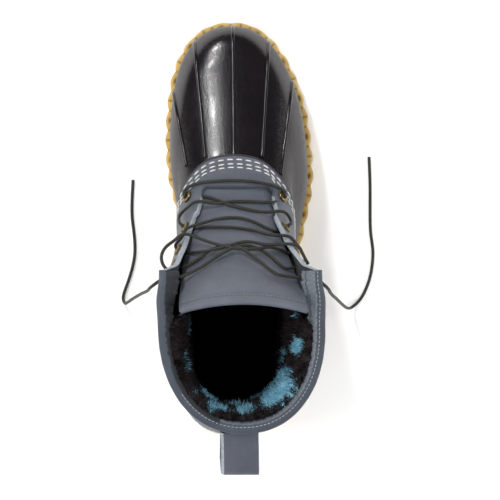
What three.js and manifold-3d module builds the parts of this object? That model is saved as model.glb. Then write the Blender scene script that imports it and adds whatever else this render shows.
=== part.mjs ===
// A right-foot lace-up winter boot: a ribbed rubber lower on a chain-edged outsole, with a leather shaft
// sewn over it, a tongue, eyelets, a collar binding, a pull loop and a thin round lace.
// Millimetres, +Z up, toe towards -Y, inner (big toe) side towards +X.
import * as THREE from "three";
import { mergeVertices } from "three/addons/utils/BufferGeometryUtils.js";
import Module from "manifold-3d";

const wasm = await Module();
wasm.setup();

// Driving sizes
const OUTSOLE_LENGTH = 297;
const BALL_WIDTH = 106; // outsole at the ball, over its scallops
const HEEL_WIDTH = 75;
const INSTEP_HEIGHT = 78; // floor to the ridge of the foot where the shaft begins
const SHAFT_HEIGHT = 178; // floor to the leather's top edge
const COLLAR_WIDTH = 100; // form at the collar, side to side

// Walls and clearances
const CLEARANCE = 0.3;
const SEAM_GAP = 2 * CLEARANCE; // up and backward, for about one clearance square to a sloping edge
const LEG_HEIGHT = SHAFT_HEIGHT - INSTEP_HEIGHT;
const RUBBER_WALL = 3;
const LEATHER_OUT = 2.2; // leather's outer face beyond the rubber's
const LEATHER_IN = 1.2; // leather's inner face inside the rubber's outer face
const LAP = 15.5; // leather over rubber along the sewn seam

// Outsole
const HEEL_THICKNESS = 21;
const WAIST_THICKNESS = 12;
const FOREPART_THICKNESS = 13;
const TOE_SPRING = 9;
const SOLE_RIM = 4.4; // tread beyond the rubber lower
const LINK_PITCH = 14.6; // one link of the chain edge
const LINK_DEPTH = 1.7;
const GROOVE_WIDTH = 3.2;
const GROOVE_DEPTH = 2.4;
const INSOLE_THICKNESS = 4;

// Raised ribs of the toe
const RIB_WIDTH = 3;
const RIB_HEIGHT = 1.3;
const RIB_SINK = 1.6;
const RIB_END_ANGLE = -0.12; // its lowest point, seen from its start at the seam, below level

// Tongue, collar binding and pull loop
const TONGUE_THICKNESS = 3;
const BINDING_THICKNESS = 1.2;
const BINDING_DEPTH = 10;
const LOOP_WIDTH = 25;
const LOOP_THICKNESS = 2;
const LOOP_REACH = 30; // from the shaft's back to the fold
const LOOP_GAP = 6.5; // finger gap between its two plies
const LOOP_DROP = 31; // collar's edge down to the upper ply
const LOOP_LEG = 13; // sewn length at each end

// Eyelets and lace
const BARREL_RADIUS = 2.5;
const EYELET_BORE = 1.55; // leaves the lace one clearance inside its facets
const FLANGE_RADIUS = 4.2;
const FLANGE_HEIGHT = 1.1;
const LACE_DIAMETER = 2.2;

// Mesh steps
const COLUMNS = 26; // round each section
const TONGUE_ACROSS = 8;
const RIB_STATIONS = 9;
const LINK_POINTS = 4;
const EYELET_SIDES = 8;
const CORD_SIDES = 8;
const CORD_STEP = 3; // in lace diameters
const CUTTER_HALF_WIDTH = 120;
const HEEL_ROUNDNESS = 2.2; // exponent of every section's back end

// One row for each level section of the foot form. foot and leg give its height, as shares of the instep
// height and of the shaft above it. front, back, heelAt and ballAt are shares of the outsole's length.
// waist and ball are half-widths as shares of the ball width, which turns into the collar width up the
// leg, and heel as a share of the heel width, which does too. round is the exponent of the front end,
// bend how much of the foot's curve it has, and lean its shift to the inner side.
const SECTIONS = [
  {
    foot: 0.1, leg: 0, front: 0.98, back: 0.016, round: 2.3, bend: 1, lean: 0,
    heelAt: 0.127, heel: 0.438, waist: 0.312, ballAt: 0.66, ball: 0.448,
  },
  {
    foot: 0.28, leg: 0, front: 0.9853, back: 0.0148, round: 2.3, bend: 1, lean: 0,
    heelAt: 0.127, heel: 0.448, waist: 0.335, ballAt: 0.66, ball: 0.4585,
  },
  {
    foot: 0.435, leg: 0, front: 0.984, back: 0.0142, round: 2.3, bend: 0.85, lean: 0.008,
    heelAt: 0.127, heel: 0.455, waist: 0.349, ballAt: 0.655, ball: 0.456,
  },
  {
    foot: 0.55, leg: 0, front: 0.974, back: 0.014, round: 2.15, bend: 0.7, lean: 0.018,
    heelAt: 0.127, heel: 0.458, waist: 0.355, ballAt: 0.655, ball: 0.439,
  },
  {
    foot: 0.64, leg: 0, front: 0.953, back: 0.0145, round: 2.1, bend: 0.55, lean: 0.027,
    heelAt: 0.127, heel: 0.455, waist: 0.357, ballAt: 0.65, ball: 0.414,
  },
  {
    foot: 0.7, leg: 0, front: 0.915, back: 0.016, round: 2.1, bend: 0.5, lean: 0.032,
    heelAt: 0.127, heel: 0.452, waist: 0.357, ballAt: 0.635, ball: 0.393,
  },
  {
    foot: 0.748, leg: 0, front: 0.86, back: 0.0185, round: 2.1, bend: 0.45, lean: 0.034,
    heelAt: 0.128, heel: 0.449, waist: 0.356, ballAt: 0.61, ball: 0.378,
  },
  {
    foot: 0.805, leg: 0, front: 0.797, back: 0.0215, round: 2.1, bend: 0.45, lean: 0.035,
    heelAt: 0.13, heel: 0.449, waist: 0.355, ballAt: 0.575, ball: 0.368,
  },
  {
    foot: 0.875, leg: 0, front: 0.733, back: 0.025, round: 2.15, bend: 0.45, lean: 0.036,
    heelAt: 0.133, heel: 0.449, waist: 0.354, ballAt: 0.53, ball: 0.364,
  },
  {
    foot: 0.95, leg: 0, front: 0.678, back: 0.029, round: 2.25, bend: 0.4, lean: 0.036,
    heelAt: 0.138, heel: 0.452, waist: 0.354, ballAt: 0.48, ball: 0.364,
  },
  {
    foot: 1, leg: 0.035, front: 0.631, back: 0.0335, round: 2.35, bend: 0.35, lean: 0.036,
    heelAt: 0.145, heel: 0.45, waist: 0.355, ballAt: 0.435, ball: 0.366,
  },
  {
    foot: 1, leg: 0.12, front: 0.592, back: 0.039, round: 2.4, bend: 0.3, lean: 0.036,
    heelAt: 0.155, heel: 0.448, waist: 0.36, ballAt: 0.4, ball: 0.374,
  },
  {
    foot: 1, leg: 0.225, front: 0.559, back: 0.0455, round: 2.4, bend: 0.25, lean: 0.034,
    heelAt: 0.17, heel: 0.454, waist: 0.375, ballAt: 0.375, ball: 0.389,
  },
  {
    foot: 1, leg: 0.355, front: 0.532, back: 0.0515, round: 2.4, bend: 0.2, lean: 0.029,
    heelAt: 0.195, heel: 0.468, waist: 0.4, ballAt: 0.36, ball: 0.409,
  },
  {
    foot: 1, leg: 0.505, front: 0.512, back: 0.0565, round: 2.4, bend: 0.1, lean: 0.02,
    heelAt: 0.222, heel: 0.482, waist: 0.42, ballAt: 0.355, ball: 0.41,
  },
  {
    foot: 1, leg: 0.67, front: 0.498, back: 0.06, round: 2.5, bend: 0, lean: 0.007,
    heelAt: 0.248, heel: 0.486, waist: 0.435, ballAt: 0.36, ball: 0.408,
  },
  {
    foot: 1, leg: 0.835, front: 0.491, back: 0.0625, round: 2.6, bend: 0, lean: -0.006,
    heelAt: 0.27, heel: 0.493, waist: 0.465, ballAt: 0.375, ball: 0.42,
  },
  {
    foot: 1, leg: 1, front: 0.49, back: 0.064, round: 2.8, bend: -0.5, lean: -0.02,
    heelAt: 0.285, heel: 0.503, waist: 0.508, ballAt: 0.39, ball: 0.492,
  },
  {
    foot: 1, leg: 1.17, front: 0.49, back: 0.065, round: 2.8, bend: -0.5, lean: -0.02,
    heelAt: 0.29, heel: 0.535, waist: 0.55, ballAt: 0.39, ball: 0.58,
  },
];

// The foot's curve: how far its middle line lies to the inner side, as shares of the ball width.
const FOOT_CURVE = [
  { along: 0, inward: 0.012 },
  { along: 0.2, inward: 0 },
  { along: 0.42, inward: -0.024 },
  { along: 0.56, inward: -0.014 },
  { along: 0.68, inward: 0.008 },
  { along: 0.81, inward: 0.029 },
  { along: 0.91, inward: 0.054 },
  { along: 1, inward: 0.062 },
];

// Lower edge of the leather seen from the side: up is its height as a share of the instep height.
// turn is how far the lap under it is laid backward instead of upward, from 0 to 1.
const SEAM = [
  { along: -0.05, up: 0.85, turn: 0 },
  { along: 0.1, up: 0.825, turn: 0 },
  { along: 0.26, up: 0.775, turn: 0 },
  { along: 0.38, up: 0.765, turn: 0 },
  { along: 0.47, up: 0.8, turn: 0 },
  { along: 0.53, up: 0.86, turn: 0.15 },
  { along: 0.575, up: 0.905, turn: 0.35 },
  { along: 0.615, up: 0.942, turn: 0.6 },
  { along: 0.645, up: 0.956, turn: 0.85 },
  { along: 0.664, up: 0.965, turn: 1 },
  { along: 0.676, up: 0.99, turn: 1 },
  { along: 0.69, up: 1.15, turn: 1 },
];

// Front edge of the shaft's two flaps seen from the side, above the instep.
const THROAT = [
  { along: 0.528, leg: 0.225 },
  { along: 0.503, leg: 0.33 },
  { along: 0.479, leg: 0.44 },
  { along: 0.46, leg: 0.57 },
  { along: 0.4365, leg: 0.72 },
  { along: 0.4185, leg: 0.82 },
  { along: 0.411, leg: 0.91 },
  { along: 0.405, leg: 1 },
  { along: 0.4, leg: 1.12 },
];

// Foot of the throat seen from above: half-widths as shares of the ball width.
const THROAT_FOOT = [
  { along: 0.594, half: 0.226 },
  { along: 0.559, half: 0.226 },
  { along: 0.54, half: 0.243 },
  { along: 0.52, half: 0.256 },
  { along: 0.4, half: 0.256 },
];
const THROAT_MIDDLE = 0.014; // its middle line to the inner side, as a share of the ball width

// The tongue's outer face. along and up (foot and leg) place its middle line, shift moves that to the
// inner side, half is its half-width and sag how far its sides drop back, as shares of the ball width.
const TONGUE = [
  { along: 0.64, foot: 0.985, leg: 0, shift: 0.03, half: 0.32, sag: 0.05 },
  { along: 0.612, foot: 1.02, leg: 0.03, shift: 0.03, half: 0.32, sag: 0.055 },
  { along: 0.58, foot: 1, leg: 0.118, shift: 0.03, half: 0.32, sag: 0.065 },
  { along: 0.54, foot: 1, leg: 0.232, shift: 0.025, half: 0.32, sag: 0.08 },
  { along: 0.498, foot: 1, leg: 0.395, shift: 0.02, half: 0.33, sag: 0.09 },
  { along: 0.455, foot: 1, leg: 0.59, shift: 0.01, half: 0.345, sag: 0.09 },
  { along: 0.412, foot: 1, leg: 0.775, shift: -0.01, half: 0.37, sag: 0.085 },
  { along: 0.375, foot: 1, leg: 0.93, shift: -0.025, half: 0.39, sag: 0.075 },
  { along: 0.352, foot: 1, leg: 1.025, shift: -0.03, half: 0.395, sag: 0.068 },
  { along: 0.342, foot: 1, leg: 1.08, shift: -0.03, half: 0.39, sag: 0.066 },
];

// Middles of the eyelets from the lowest pair up, in the side view.
const EYELETS = [
  { along: 0.569, foot: 1.04, leg: 0 },
  { along: 0.496, foot: 1, leg: 0.28 },
  { along: 0.446, foot: 1, leg: 0.53 },
  { along: 0.413, foot: 1, leg: 0.69 },
  { along: 0.389, foot: 1, leg: 0.83 },
];

// Ribs of the toe seen from above, as shares of the outsole's length and of the ball width:
// the end under the leather and the end at the sole.
const RIBS = [
  { fromAlong: 0.67, fromInward: 0.039, toAlong: 0.98, toInward: 0.049 },
  { fromAlong: 0.665, fromInward: 0.226, toAlong: 0.943, toInward: 0.304 },
  { fromAlong: 0.665, fromInward: -0.144, toAlong: 0.953, toInward: -0.193 },
  { fromAlong: 0.645, fromInward: 0.35, toAlong: 0.797, toInward: 0.431 },
  { fromAlong: 0.625, fromInward: -0.267, toAlong: 0.845, toInward: -0.348 },
];

// Strands of the lace. on names what a row lies on: the leather below it, a flap's outer face at a share
// leg of the shaft, the tongue, an eyelet's outside, bore or inside, the air at a share of the shaft's
// height, or the floor. inward is a share of the ball width, and lift a height over what it lies on, in
// diameters.
const BAR = [
  { on: "outside", eyelet: 1, side: 1, lift: 0.4 },
  { on: "skin", along: 0.5848, inward: 0.325, lift: 0.55 },
  { on: "skin", along: 0.6013, inward: 0.264, lift: 0.35 },
  { on: "skin", along: 0.6061, inward: 0.113, lift: 0.4 },
  { on: "skin", along: 0.6061, inward: 0.028, lift: 0.4 },
  { on: "skin", along: 0.6037, inward: -0.057, lift: 0.4 },
  { on: "skin", along: 0.5956, inward: -0.189, lift: 0.35 },
  { on: "skin", along: 0.5825, inward: -0.255, lift: 0.55 },
  { on: "outside", eyelet: 1, side: -1, lift: 0.4 },
];
const LOW_OVER = [
  { on: "outside", eyelet: 2, side: 1, lift: 0.4 },
  { on: "skin", along: 0.5236, inward: 0.344, lift: 0.7 },
  { on: "skin", along: 0.5404, inward: 0.297, lift: 0.5 },
  { on: "skin", along: 0.5488, inward: 0.255, lift: 0.8 },
  { on: "tongue", along: 0.5549, inward: 0.151, lift: 0.9 },
  { on: "tongue", along: 0.5599, inward: 0.057, lift: 0.3 },
  { on: "tongue", along: 0.5599, inward: -0.066, lift: 0.3 },
  { on: "tongue", along: 0.5582, inward: -0.175, lift: 0.3 },
];
const LOW_UNDER = [
  { on: "tongue", along: 0.57, inward: 0.193, lift: 0.3 },
  { on: "tongue", along: 0.5636, inward: 0.146, lift: 0.3 },
  { on: "tongue", along: 0.5512, inward: 0.056, lift: 0.3 },
  { on: "tongue", along: 0.5404, inward: -0.066, lift: 0.3 },
  { on: "tongue", along: 0.5347, inward: -0.16, lift: 1.1 },
  { on: "skin", along: 0.5253, inward: -0.25, lift: 1.05 },
  { on: "skin", along: 0.5101, inward: -0.288, lift: 0.6 },
  { on: "outside", eyelet: 2, side: -1, lift: 0.4 },
];
const HIGH_OVER = [
  { on: "outside", eyelet: 3, side: 1, lift: 0.4 },
  { on: "flap", along: 0.468, leg: 0.49, side: 1, lift: 0.3 },
  { on: "flap", along: 0.4875, leg: 0.41, side: 1, lift: 0.3 },
  { on: "tongue", along: 0.5084, inward: 0.245, lift: 1.7 },
  { on: "tongue", along: 0.5212, inward: 0.113, lift: 0.2 },
  { on: "tongue", along: 0.5219, inward: -0.003, lift: 0.1 },
  { on: "tongue", along: 0.5138, inward: -0.085, lift: 0.1 },
  { on: "tongue", along: 0.4966, inward: -0.184, lift: 0.1 },
];
const HIGH_UNDER = [
  { on: "tongue", along: 0.501, inward: 0.236 },
  { on: "tongue", along: 0.501, inward: 0.17 },
  { on: "tongue", along: 0.5003, inward: 0.054 },
  { on: "tongue", along: 0.4936, inward: -0.085 },
  { on: "tongue", along: 0.4825, inward: -0.189, lift: 1.4 },
  { on: "flap", along: 0.4697, leg: 0.485, side: -1, lift: 0.4 },
  { on: "flap", along: 0.4562, leg: 0.515, side: -1, lift: 0.3 },
  { on: "outside", eyelet: 3, side: -1, lift: 0.4 },
];
const TO_OUTER_TOP = [
  { on: "tongue", along: 0.4192, inward: 0.297, lift: 0.3 },
  { on: "tongue", along: 0.431, inward: 0.245, lift: 0.4 },
  { on: "tongue", along: 0.4465, inward: 0.193, lift: 0.5 },
  { on: "tongue", along: 0.4562, inward: 0.123, lift: 0.6 },
  { on: "tongue", along: 0.4606, inward: 0.057, lift: 0.9 },
  { on: "tongue", along: 0.4545, inward: 0, lift: 1.6 },
  { on: "tongue", along: 0.4428, inward: -0.057, lift: 1.5 },
  { on: "tongue", along: 0.4202, inward: -0.142, lift: 1 },
  { on: "tongue", along: 0.3956, inward: -0.236, lift: 0.8 },
  { on: "inside", eyelet: 5, side: -1 },
];
const TO_INNER_TOP = [
  { on: "tongue", along: 0.4074, inward: -0.283, lift: 0.3 },
  { on: "tongue", along: 0.4202, inward: -0.241, lift: 0.4 },
  { on: "tongue", along: 0.4367, inward: -0.189, lift: 0.5 },
  { on: "tongue", along: 0.4512, inward: -0.123, lift: 0.6 },
  { on: "tongue", along: 0.4589, inward: -0.057, lift: 0.9 },
  { on: "tongue", along: 0.4579, inward: 0.009, lift: 1.6 },
  { on: "tongue", along: 0.4488, inward: 0.075, lift: 1.3 },
  { on: "tongue", along: 0.4327, inward: 0.146, lift: 0.8 },
  { on: "tongue", along: 0.4091, inward: 0.245, lift: 0.6 },
  { on: "inside", eyelet: 5, side: 1 },
];
const INNER_LOOP = [
  { on: "tongue", along: 0.4529, inward: 0.028, lift: 1.4 },
  { on: "tongue", along: 0.4599, inward: 0.123, lift: 1.6 },
  { on: "tongue", along: 0.469, inward: 0.208, lift: 2 },
  { on: "flap", along: 0.4731, leg: 0.505, side: 1, lift: 0.9 },
  { on: "air", along: 0.4697, inward: 0.406, share: 0.758 },
  { on: "air", along: 0.4562, inward: 0.458, share: 0.781 },
  { on: "air", along: 0.436, inward: 0.486, share: 0.803 },
  { on: "air", along: 0.4192, inward: 0.467, share: 0.82 },
  { on: "outside", eyelet: 4, side: 1, lift: 0.4 },
];
const OUTER_LOOP = [
  { on: "tongue", along: 0.4579, inward: 0.066, lift: 1.5 },
  { on: "tongue", along: 0.466, inward: 0, lift: 1.6 },
  { on: "tongue", along: 0.4673, inward: -0.075, lift: 1.7 },
  { on: "tongue", along: 0.4613, inward: -0.151, lift: 2 },
  { on: "flap", along: 0.4495, leg: 0.62, side: -1, lift: 0.8 },
  { on: "flap", along: 0.4343, leg: 0.655, side: -1, lift: 0.6 },
  { on: "outside", eyelet: 4, side: -1, lift: 0.4 },
];
const INNER_END = [
  { on: "bore", eyelet: 5, side: 1 },
  { on: "outside", eyelet: 5, side: 1, lift: 0.4 },
  { on: "air", along: 0.3704, inward: 0.533, share: 0.882 },
  { on: "air", along: 0.3586, inward: 0.571, share: 0.775 },
  { on: "air", along: 0.3502, inward: 0.623, share: 0.59 },
  { on: "air", along: 0.335, inward: 0.703, share: 0.337 },
  { on: "air", along: 0.3232, inward: 0.759, share: 0.124 },
  { on: "air", along: 0.3192, inward: 0.788, share: 0.039 },
  { on: "floor", along: 0.3283, inward: 0.807 },
  { on: "floor", along: 0.3451, inward: 0.797 },
  { on: "floor", along: 0.3633, inward: 0.777 },
  { on: "floor", along: 0.4024, inward: 0.743 },
  { on: "floor", along: 0.4343, inward: 0.725 },
  { on: "floor", along: 0.4734, inward: 0.725 },
  { on: "floor", along: 0.532, inward: 0.743 },
  { on: "floor", along: 0.571, inward: 0.743 },
  { on: "floor", along: 0.6202, inward: 0.736 },
];
const OUTER_END = [
  { on: "bore", eyelet: 5, side: -1 },
  { on: "outside", eyelet: 5, side: -1, lift: 0.4 },
  { on: "air", along: 0.3687, inward: -0.533, share: 0.876 },
  { on: "air", along: 0.3519, inward: -0.571, share: 0.758 },
  { on: "air", along: 0.3367, inward: -0.623, share: 0.534 },
  { on: "air", along: 0.3182, inward: -0.684, share: 0.281 },
  { on: "air", along: 0.3081, inward: -0.731, share: 0.09 },
  { on: "air", along: 0.3081, inward: -0.759, share: 0.028 },
  { on: "floor", along: 0.3199, inward: -0.804 },
  { on: "floor", along: 0.335, inward: -0.836 },
  { on: "floor", along: 0.3535, inward: -0.861 },
  { on: "floor", along: 0.3865, inward: -0.892 },
  { on: "floor", along: 0.4428, inward: -0.909 },
  { on: "floor", along: 0.4929, inward: -0.892 },
  { on: "floor", along: 0.5488, inward: -0.889 },
  { on: "floor", along: 0.6054, inward: -0.889 },
  { on: "floor", along: 0.6764, inward: -0.882 },
];

const lerp = (a, b, t) => a + (b - a) * t;
const clamp01 = (t) => Math.min(1, Math.max(0, t));
const ease = (t) => (1 - Math.cos(Math.PI * clamp01(t))) / 2;
const roundEnd = (t, power) => Math.pow(1 - Math.pow(clamp01(t), power), 1 / power);
const heightOf = (row) => row.foot * INSTEP_HEIGHT + row.leg * LEG_HEIGHT;
// A point of the boot: forward from the heel, to the inner side, up.
const at = (forward, inward, up) => new THREE.Vector3(inward, -forward, up);

// Smooth value through the rows of a table at a fractional row number.
function blendRows(rows, key, place) {
  const i = Math.min(rows.length - 2, Math.max(0, Math.floor(place)));
  const t = place - i;
  const p = [i - 1, i, i + 1, i + 2].map((k) => rows[Math.min(rows.length - 1, Math.max(0, k))][key]);
  const slopeA = (p[2] - p[0]) / 2;
  const slopeB = (p[3] - p[1]) / 2;
  const t2 = t * t;
  const t3 = t2 * t;
  const fromA = (2 * t3 - 3 * t2 + 1) * p[1] + (t3 - 2 * t2 + t) * slopeA;
  return fromA + (3 * t2 - 2 * t3) * p[2] + (t3 - t2) * slopeB;
}

// Value of a table against its along column, at a length forward from the heel.
function alongTable(rows, key, forward) {
  const share = forward / OUTSOLE_LENGTH;
  let i = 0;
  while (i < rows.length - 2 && rows[i + 1].along < share) i += 1;
  const t = (share - rows[i].along) / (rows[i + 1].along - rows[i].along);
  return blendRows(rows, key, i + clamp01(t));
}

const sectionColumns = Object.keys(SECTIONS[0]);

function sectionAt(place) {
  const s = Object.fromEntries(sectionColumns.map((key) => [key, blendRows(SECTIONS, key, place)]));
  const width = lerp(BALL_WIDTH, COLLAR_WIDTH, clamp01(s.leg));
  const heelWidth = lerp(HEEL_WIDTH, COLLAR_WIDTH, clamp01(s.leg));
  return {
    up: heightOf(s),
    front: s.front * OUTSOLE_LENGTH,
    back: s.back * OUTSOLE_LENGTH,
    heelAt: s.heelAt * OUTSOLE_LENGTH,
    ballAt: s.ballAt * OUTSOLE_LENGTH,
    heel: s.heel * heelWidth,
    waist: s.waist * width,
    ball: s.ball * width,
    round: s.round,
    bend: s.bend,
    lean: s.lean * BALL_WIDTH,
  };
}

function halfWidth(s, forward) {
  const waistAt = (s.heelAt + s.ballAt) / 2;
  if (forward < s.heelAt) {
    return s.heel * roundEnd((s.heelAt - forward) / (s.heelAt - s.back), HEEL_ROUNDNESS);
  }
  if (forward > s.ballAt) return s.ball * roundEnd((forward - s.ballAt) / (s.front - s.ballAt), s.round);
  if (forward < waistAt) return lerp(s.heel, s.waist, ease((forward - s.heelAt) / (waistAt - s.heelAt)));
  return lerp(s.waist, s.ball, ease((forward - waistAt) / (s.ballAt - waistAt)));
}

const middleLine = (s, forward) => s.bend * BALL_WIDTH * alongTable(FOOT_CURVE, "inward", forward) + s.lean;

// Point of the form's skin at a section place and a share of the way round it, from the front end.
function skinPoint(place, around) {
  const s = sectionAt(place);
  const forward = lerp(s.back, s.front, (1 + Math.cos(2 * Math.PI * around)) / 2);
  const side = around < 0.5 ? 1 : -1;
  const onRidge = around === 0 || around === 0.5 || around === 1;
  return at(forward, middleLine(s, forward) + (onRidge ? 0 : side * halfWidth(s, forward)), s.up);
}

function skinNormal(place, around) {
  const stepPlace = 0.02;
  const stepAround = 0.004;
  const round = (a) => (a + 1) % 1;
  const up = skinPoint(Math.min(place + stepPlace, SECTIONS.length - 1), around);
  up.sub(skinPoint(Math.max(place - stepPlace, 0), around));
  const on = skinPoint(place, round(around + stepAround)).sub(skinPoint(place, round(around - stepAround)));
  return on.cross(up).normalize();
}

const skin = (place, around, offset) =>
  skinPoint(place, around).addScaledVector(skinNormal(place, around), offset);

// A closed mesh from rings of points: sides, and a fan over each end unless the rings join in a loop.
function ringsGeometry(rings, looped = false) {
  const count = rings[0].length;
  const points = rings.flat();
  const index = [];
  const last = looped ? rings.length : rings.length - 1;
  for (let r = 0; r < last; r += 1) {
    for (let c = 0; c < count; c += 1) {
      const a = r * count + c;
      const b = r * count + ((c + 1) % count);
      const d = ((r + 1) % rings.length) * count;
      index.push(a, b, d + ((c + 1) % count), a, d + ((c + 1) % count), d + c);
    }
  }
  if (!looped) {
    for (const [r, flip] of [[0, true], [rings.length - 1, false]]) {
      const middle = new THREE.Vector3();
      rings[r].forEach((p) => middle.addScaledVector(p, 1 / count));
      points.push(middle);
      for (let c = 0; c < count; c += 1) {
        const a = r * count + c;
        const b = r * count + ((c + 1) % count);
        index.push(...(flip ? [b, a, points.length - 1] : [a, b, points.length - 1]));
      }
    }
  }
  const geometry = new THREE.BufferGeometry().setFromPoints(points);
  geometry.setIndex(index);
  return geometry;
}

function toSolid(geometry) {
  const bare = geometry.clone();
  bare.deleteAttribute("normal");
  bare.deleteAttribute("uv");
  const merged = mergeVertices(bare, 1e-3);
  const solid = new wasm.Manifold(
    new wasm.Mesh({
      numProp: 3,
      vertProperties: merged.attributes.position.array,
      triVerts: new Uint32Array(merged.index.array),
    }),
  );
  if (solid.volume() > 0) return solid;
  const turned = new Uint32Array(merged.index.array);
  for (let i = 0; i < turned.length; i += 3) {
    [turned[i + 1], turned[i + 2]] = [turned[i + 2], turned[i + 1]];
  }
  return new wasm.Manifold(
    new wasm.Mesh({ numProp: 3, vertProperties: merged.attributes.position.array, triVerts: turned }),
  );
}

function toGeometry(solid) {
  const mesh = solid.getMesh();
  const geometry = new THREE.BufferGeometry();
  geometry.setAttribute("position", new THREE.BufferAttribute(new Float32Array(mesh.vertProperties), 3));
  geometry.setIndex(new THREE.BufferAttribute(new Uint32Array(mesh.triVerts), 1));
  geometry.computeVertexNormals();
  return geometry;
}

// The whole foot form, moved out by an offset.
function formSolid(offset) {
  const columns = Array.from({ length: COLUMNS }, (_, c) => c / COLUMNS);
  const rings = SECTIONS.map((row, place) => columns.map((around) => skin(place, around, offset)));
  return toSolid(ringsGeometry(rings));
}

// A prism right across the boot from a side-view outline of [forward, up] points.
function sidePrism(outline) {
  const shape = new THREE.Shape(outline.map(([f, z]) => new THREE.Vector2(f, z)));
  const geometry = new THREE.ExtrudeGeometry(shape, { depth: 2 * CUTTER_HALF_WIDTH, bevelEnabled: false });
  const turn = new THREE.Matrix4().makeBasis(
    new THREE.Vector3(0, -1, 0),
    new THREE.Vector3(0, 0, 1),
    new THREE.Vector3(-1, 0, 0),
  );
  turn.setPosition(CUTTER_HALF_WIDTH, 0, 0);
  return toSolid(geometry.applyMatrix4(turn));
}

// An upright prism from a plan outline of [forward, inward] points.
function planPrism(outline, low, high) {
  const shape = new THREE.Shape(outline.map(([f, i]) => new THREE.Vector2(f, i)));
  const geometry = new THREE.ExtrudeGeometry(shape, { depth: high - low, bevelEnabled: false });
  const turn = new THREE.Matrix4().makeBasis(
    new THREE.Vector3(0, -1, 0),
    new THREE.Vector3(1, 0, 0),
    new THREE.Vector3(0, 0, 1),
  );
  turn.setPosition(0, 0, low);
  return toSolid(geometry.applyMatrix4(turn));
}

// A closed sheet between two grids of points.
function sheetGeometry(outer, inner) {
  const rows = outer.length;
  const columns = outer[0].length;
  const size = rows * columns;
  const index = [];
  const quad = (a, b, c, d) => index.push(a, b, c, a, c, d);
  for (let r = 0; r < rows - 1; r += 1) {
    for (let c = 0; c < columns - 1; c += 1) {
      const a = r * columns + c;
      quad(a, a + 1, a + 1 + columns, a + columns);
      quad(size + a, size + a + columns, size + a + 1 + columns, size + a + 1);
    }
  }
  for (let r = 0; r < rows - 1; r += 1) {
    const left = r * columns;
    const right = left + columns - 1;
    quad(left, left + columns, size + left + columns, size + left);
    quad(right, size + right, size + right + columns, right + columns);
  }
  for (let c = 0; c < columns - 1; c += 1) {
    const last = size - columns + c;
    quad(c, size + c, size + c + 1, c + 1);
    quad(last, last + 1, size + last + 1, size + last);
  }
  const geometry = new THREE.BufferGeometry().setFromPoints([...outer.flat(), ...inner.flat()]);
  geometry.setIndex(index);
  return geometry;
}

// Heights of the outsole's top and bottom faces along its length.
const HEEL_BREAST = 0.27 * OUTSOLE_LENGTH;
const ARCH_END = 0.43 * OUTSOLE_LENGTH;
const SPRING_FROM = 0.72 * OUTSOLE_LENGTH;
const DROP_FROM = 0.22 * OUTSOLE_LENGTH; // the top face starts down from the heel
const DROP_RUN = 0.32 * OUTSOLE_LENGTH;
const BREAST_RUN = 3; // length of the heel's sloping front face
const BEYOND = 10; // how far a cutter runs past what it cuts
const toeLift = (forward) =>
  TOE_SPRING * Math.pow(clamp01((forward - SPRING_FROM) / (OUTSOLE_LENGTH - SPRING_FROM)), 2);
const soleTop = (forward) =>
  lerp(HEEL_THICKNESS, FOREPART_THICKNESS, ease((forward - DROP_FROM) / DROP_RUN)) + toeLift(forward);
const HEEL_GROOVES = { from: 0.05, count: 4 };
const FOREPART_GROOVES = { from: 0.455, count: 11 };
const archRise = soleTop(HEEL_BREAST) - WAIST_THICKNESS;

function soleBottom(forward) {
  if (forward < HEEL_BREAST || forward > ARCH_END) return toeLift(forward);
  const run = forward - HEEL_BREAST;
  return run < BREAST_RUN
    ? (archRise * run) / BREAST_RUN
    : archRise * (1 - ease((run - BREAST_RUN) / (ARCH_END - HEEL_BREAST - BREAST_RUN)));
}

const steps = (from, to, count) => Array.from({ length: count + 1 }, (_, i) => lerp(from, to, i / count));
const TOP = SHAFT_HEIGHT + 4 * BEYOND;
const BACK = -3 * BEYOND;
const FRONT = OUTSOLE_LENGTH + BEYOND;

// The seam's line in the side view, moved up or backward by a distance, then up and backward by a gap.
function seamLine(moved, gap) {
  return steps(0, SEAM.length - 1, 2 * (SEAM.length - 1)).map((place) => {
    const turn = (blendRows(SEAM, "turn", place) * Math.PI) / 2;
    return [
      blendRows(SEAM, "along", place) * OUTSOLE_LENGTH - moved * Math.sin(turn) - gap,
      blendRows(SEAM, "up", place) * INSTEP_HEIGHT + moved * Math.cos(turn) + gap,
    ];
  });
}

function aboveSeam(moved, gap = 0) {
  const line = seamLine(moved, gap);
  return sidePrism([...line, [line.at(-1)[0], TOP], [BACK, TOP], [BACK, line[0][1]]]);
}

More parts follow.
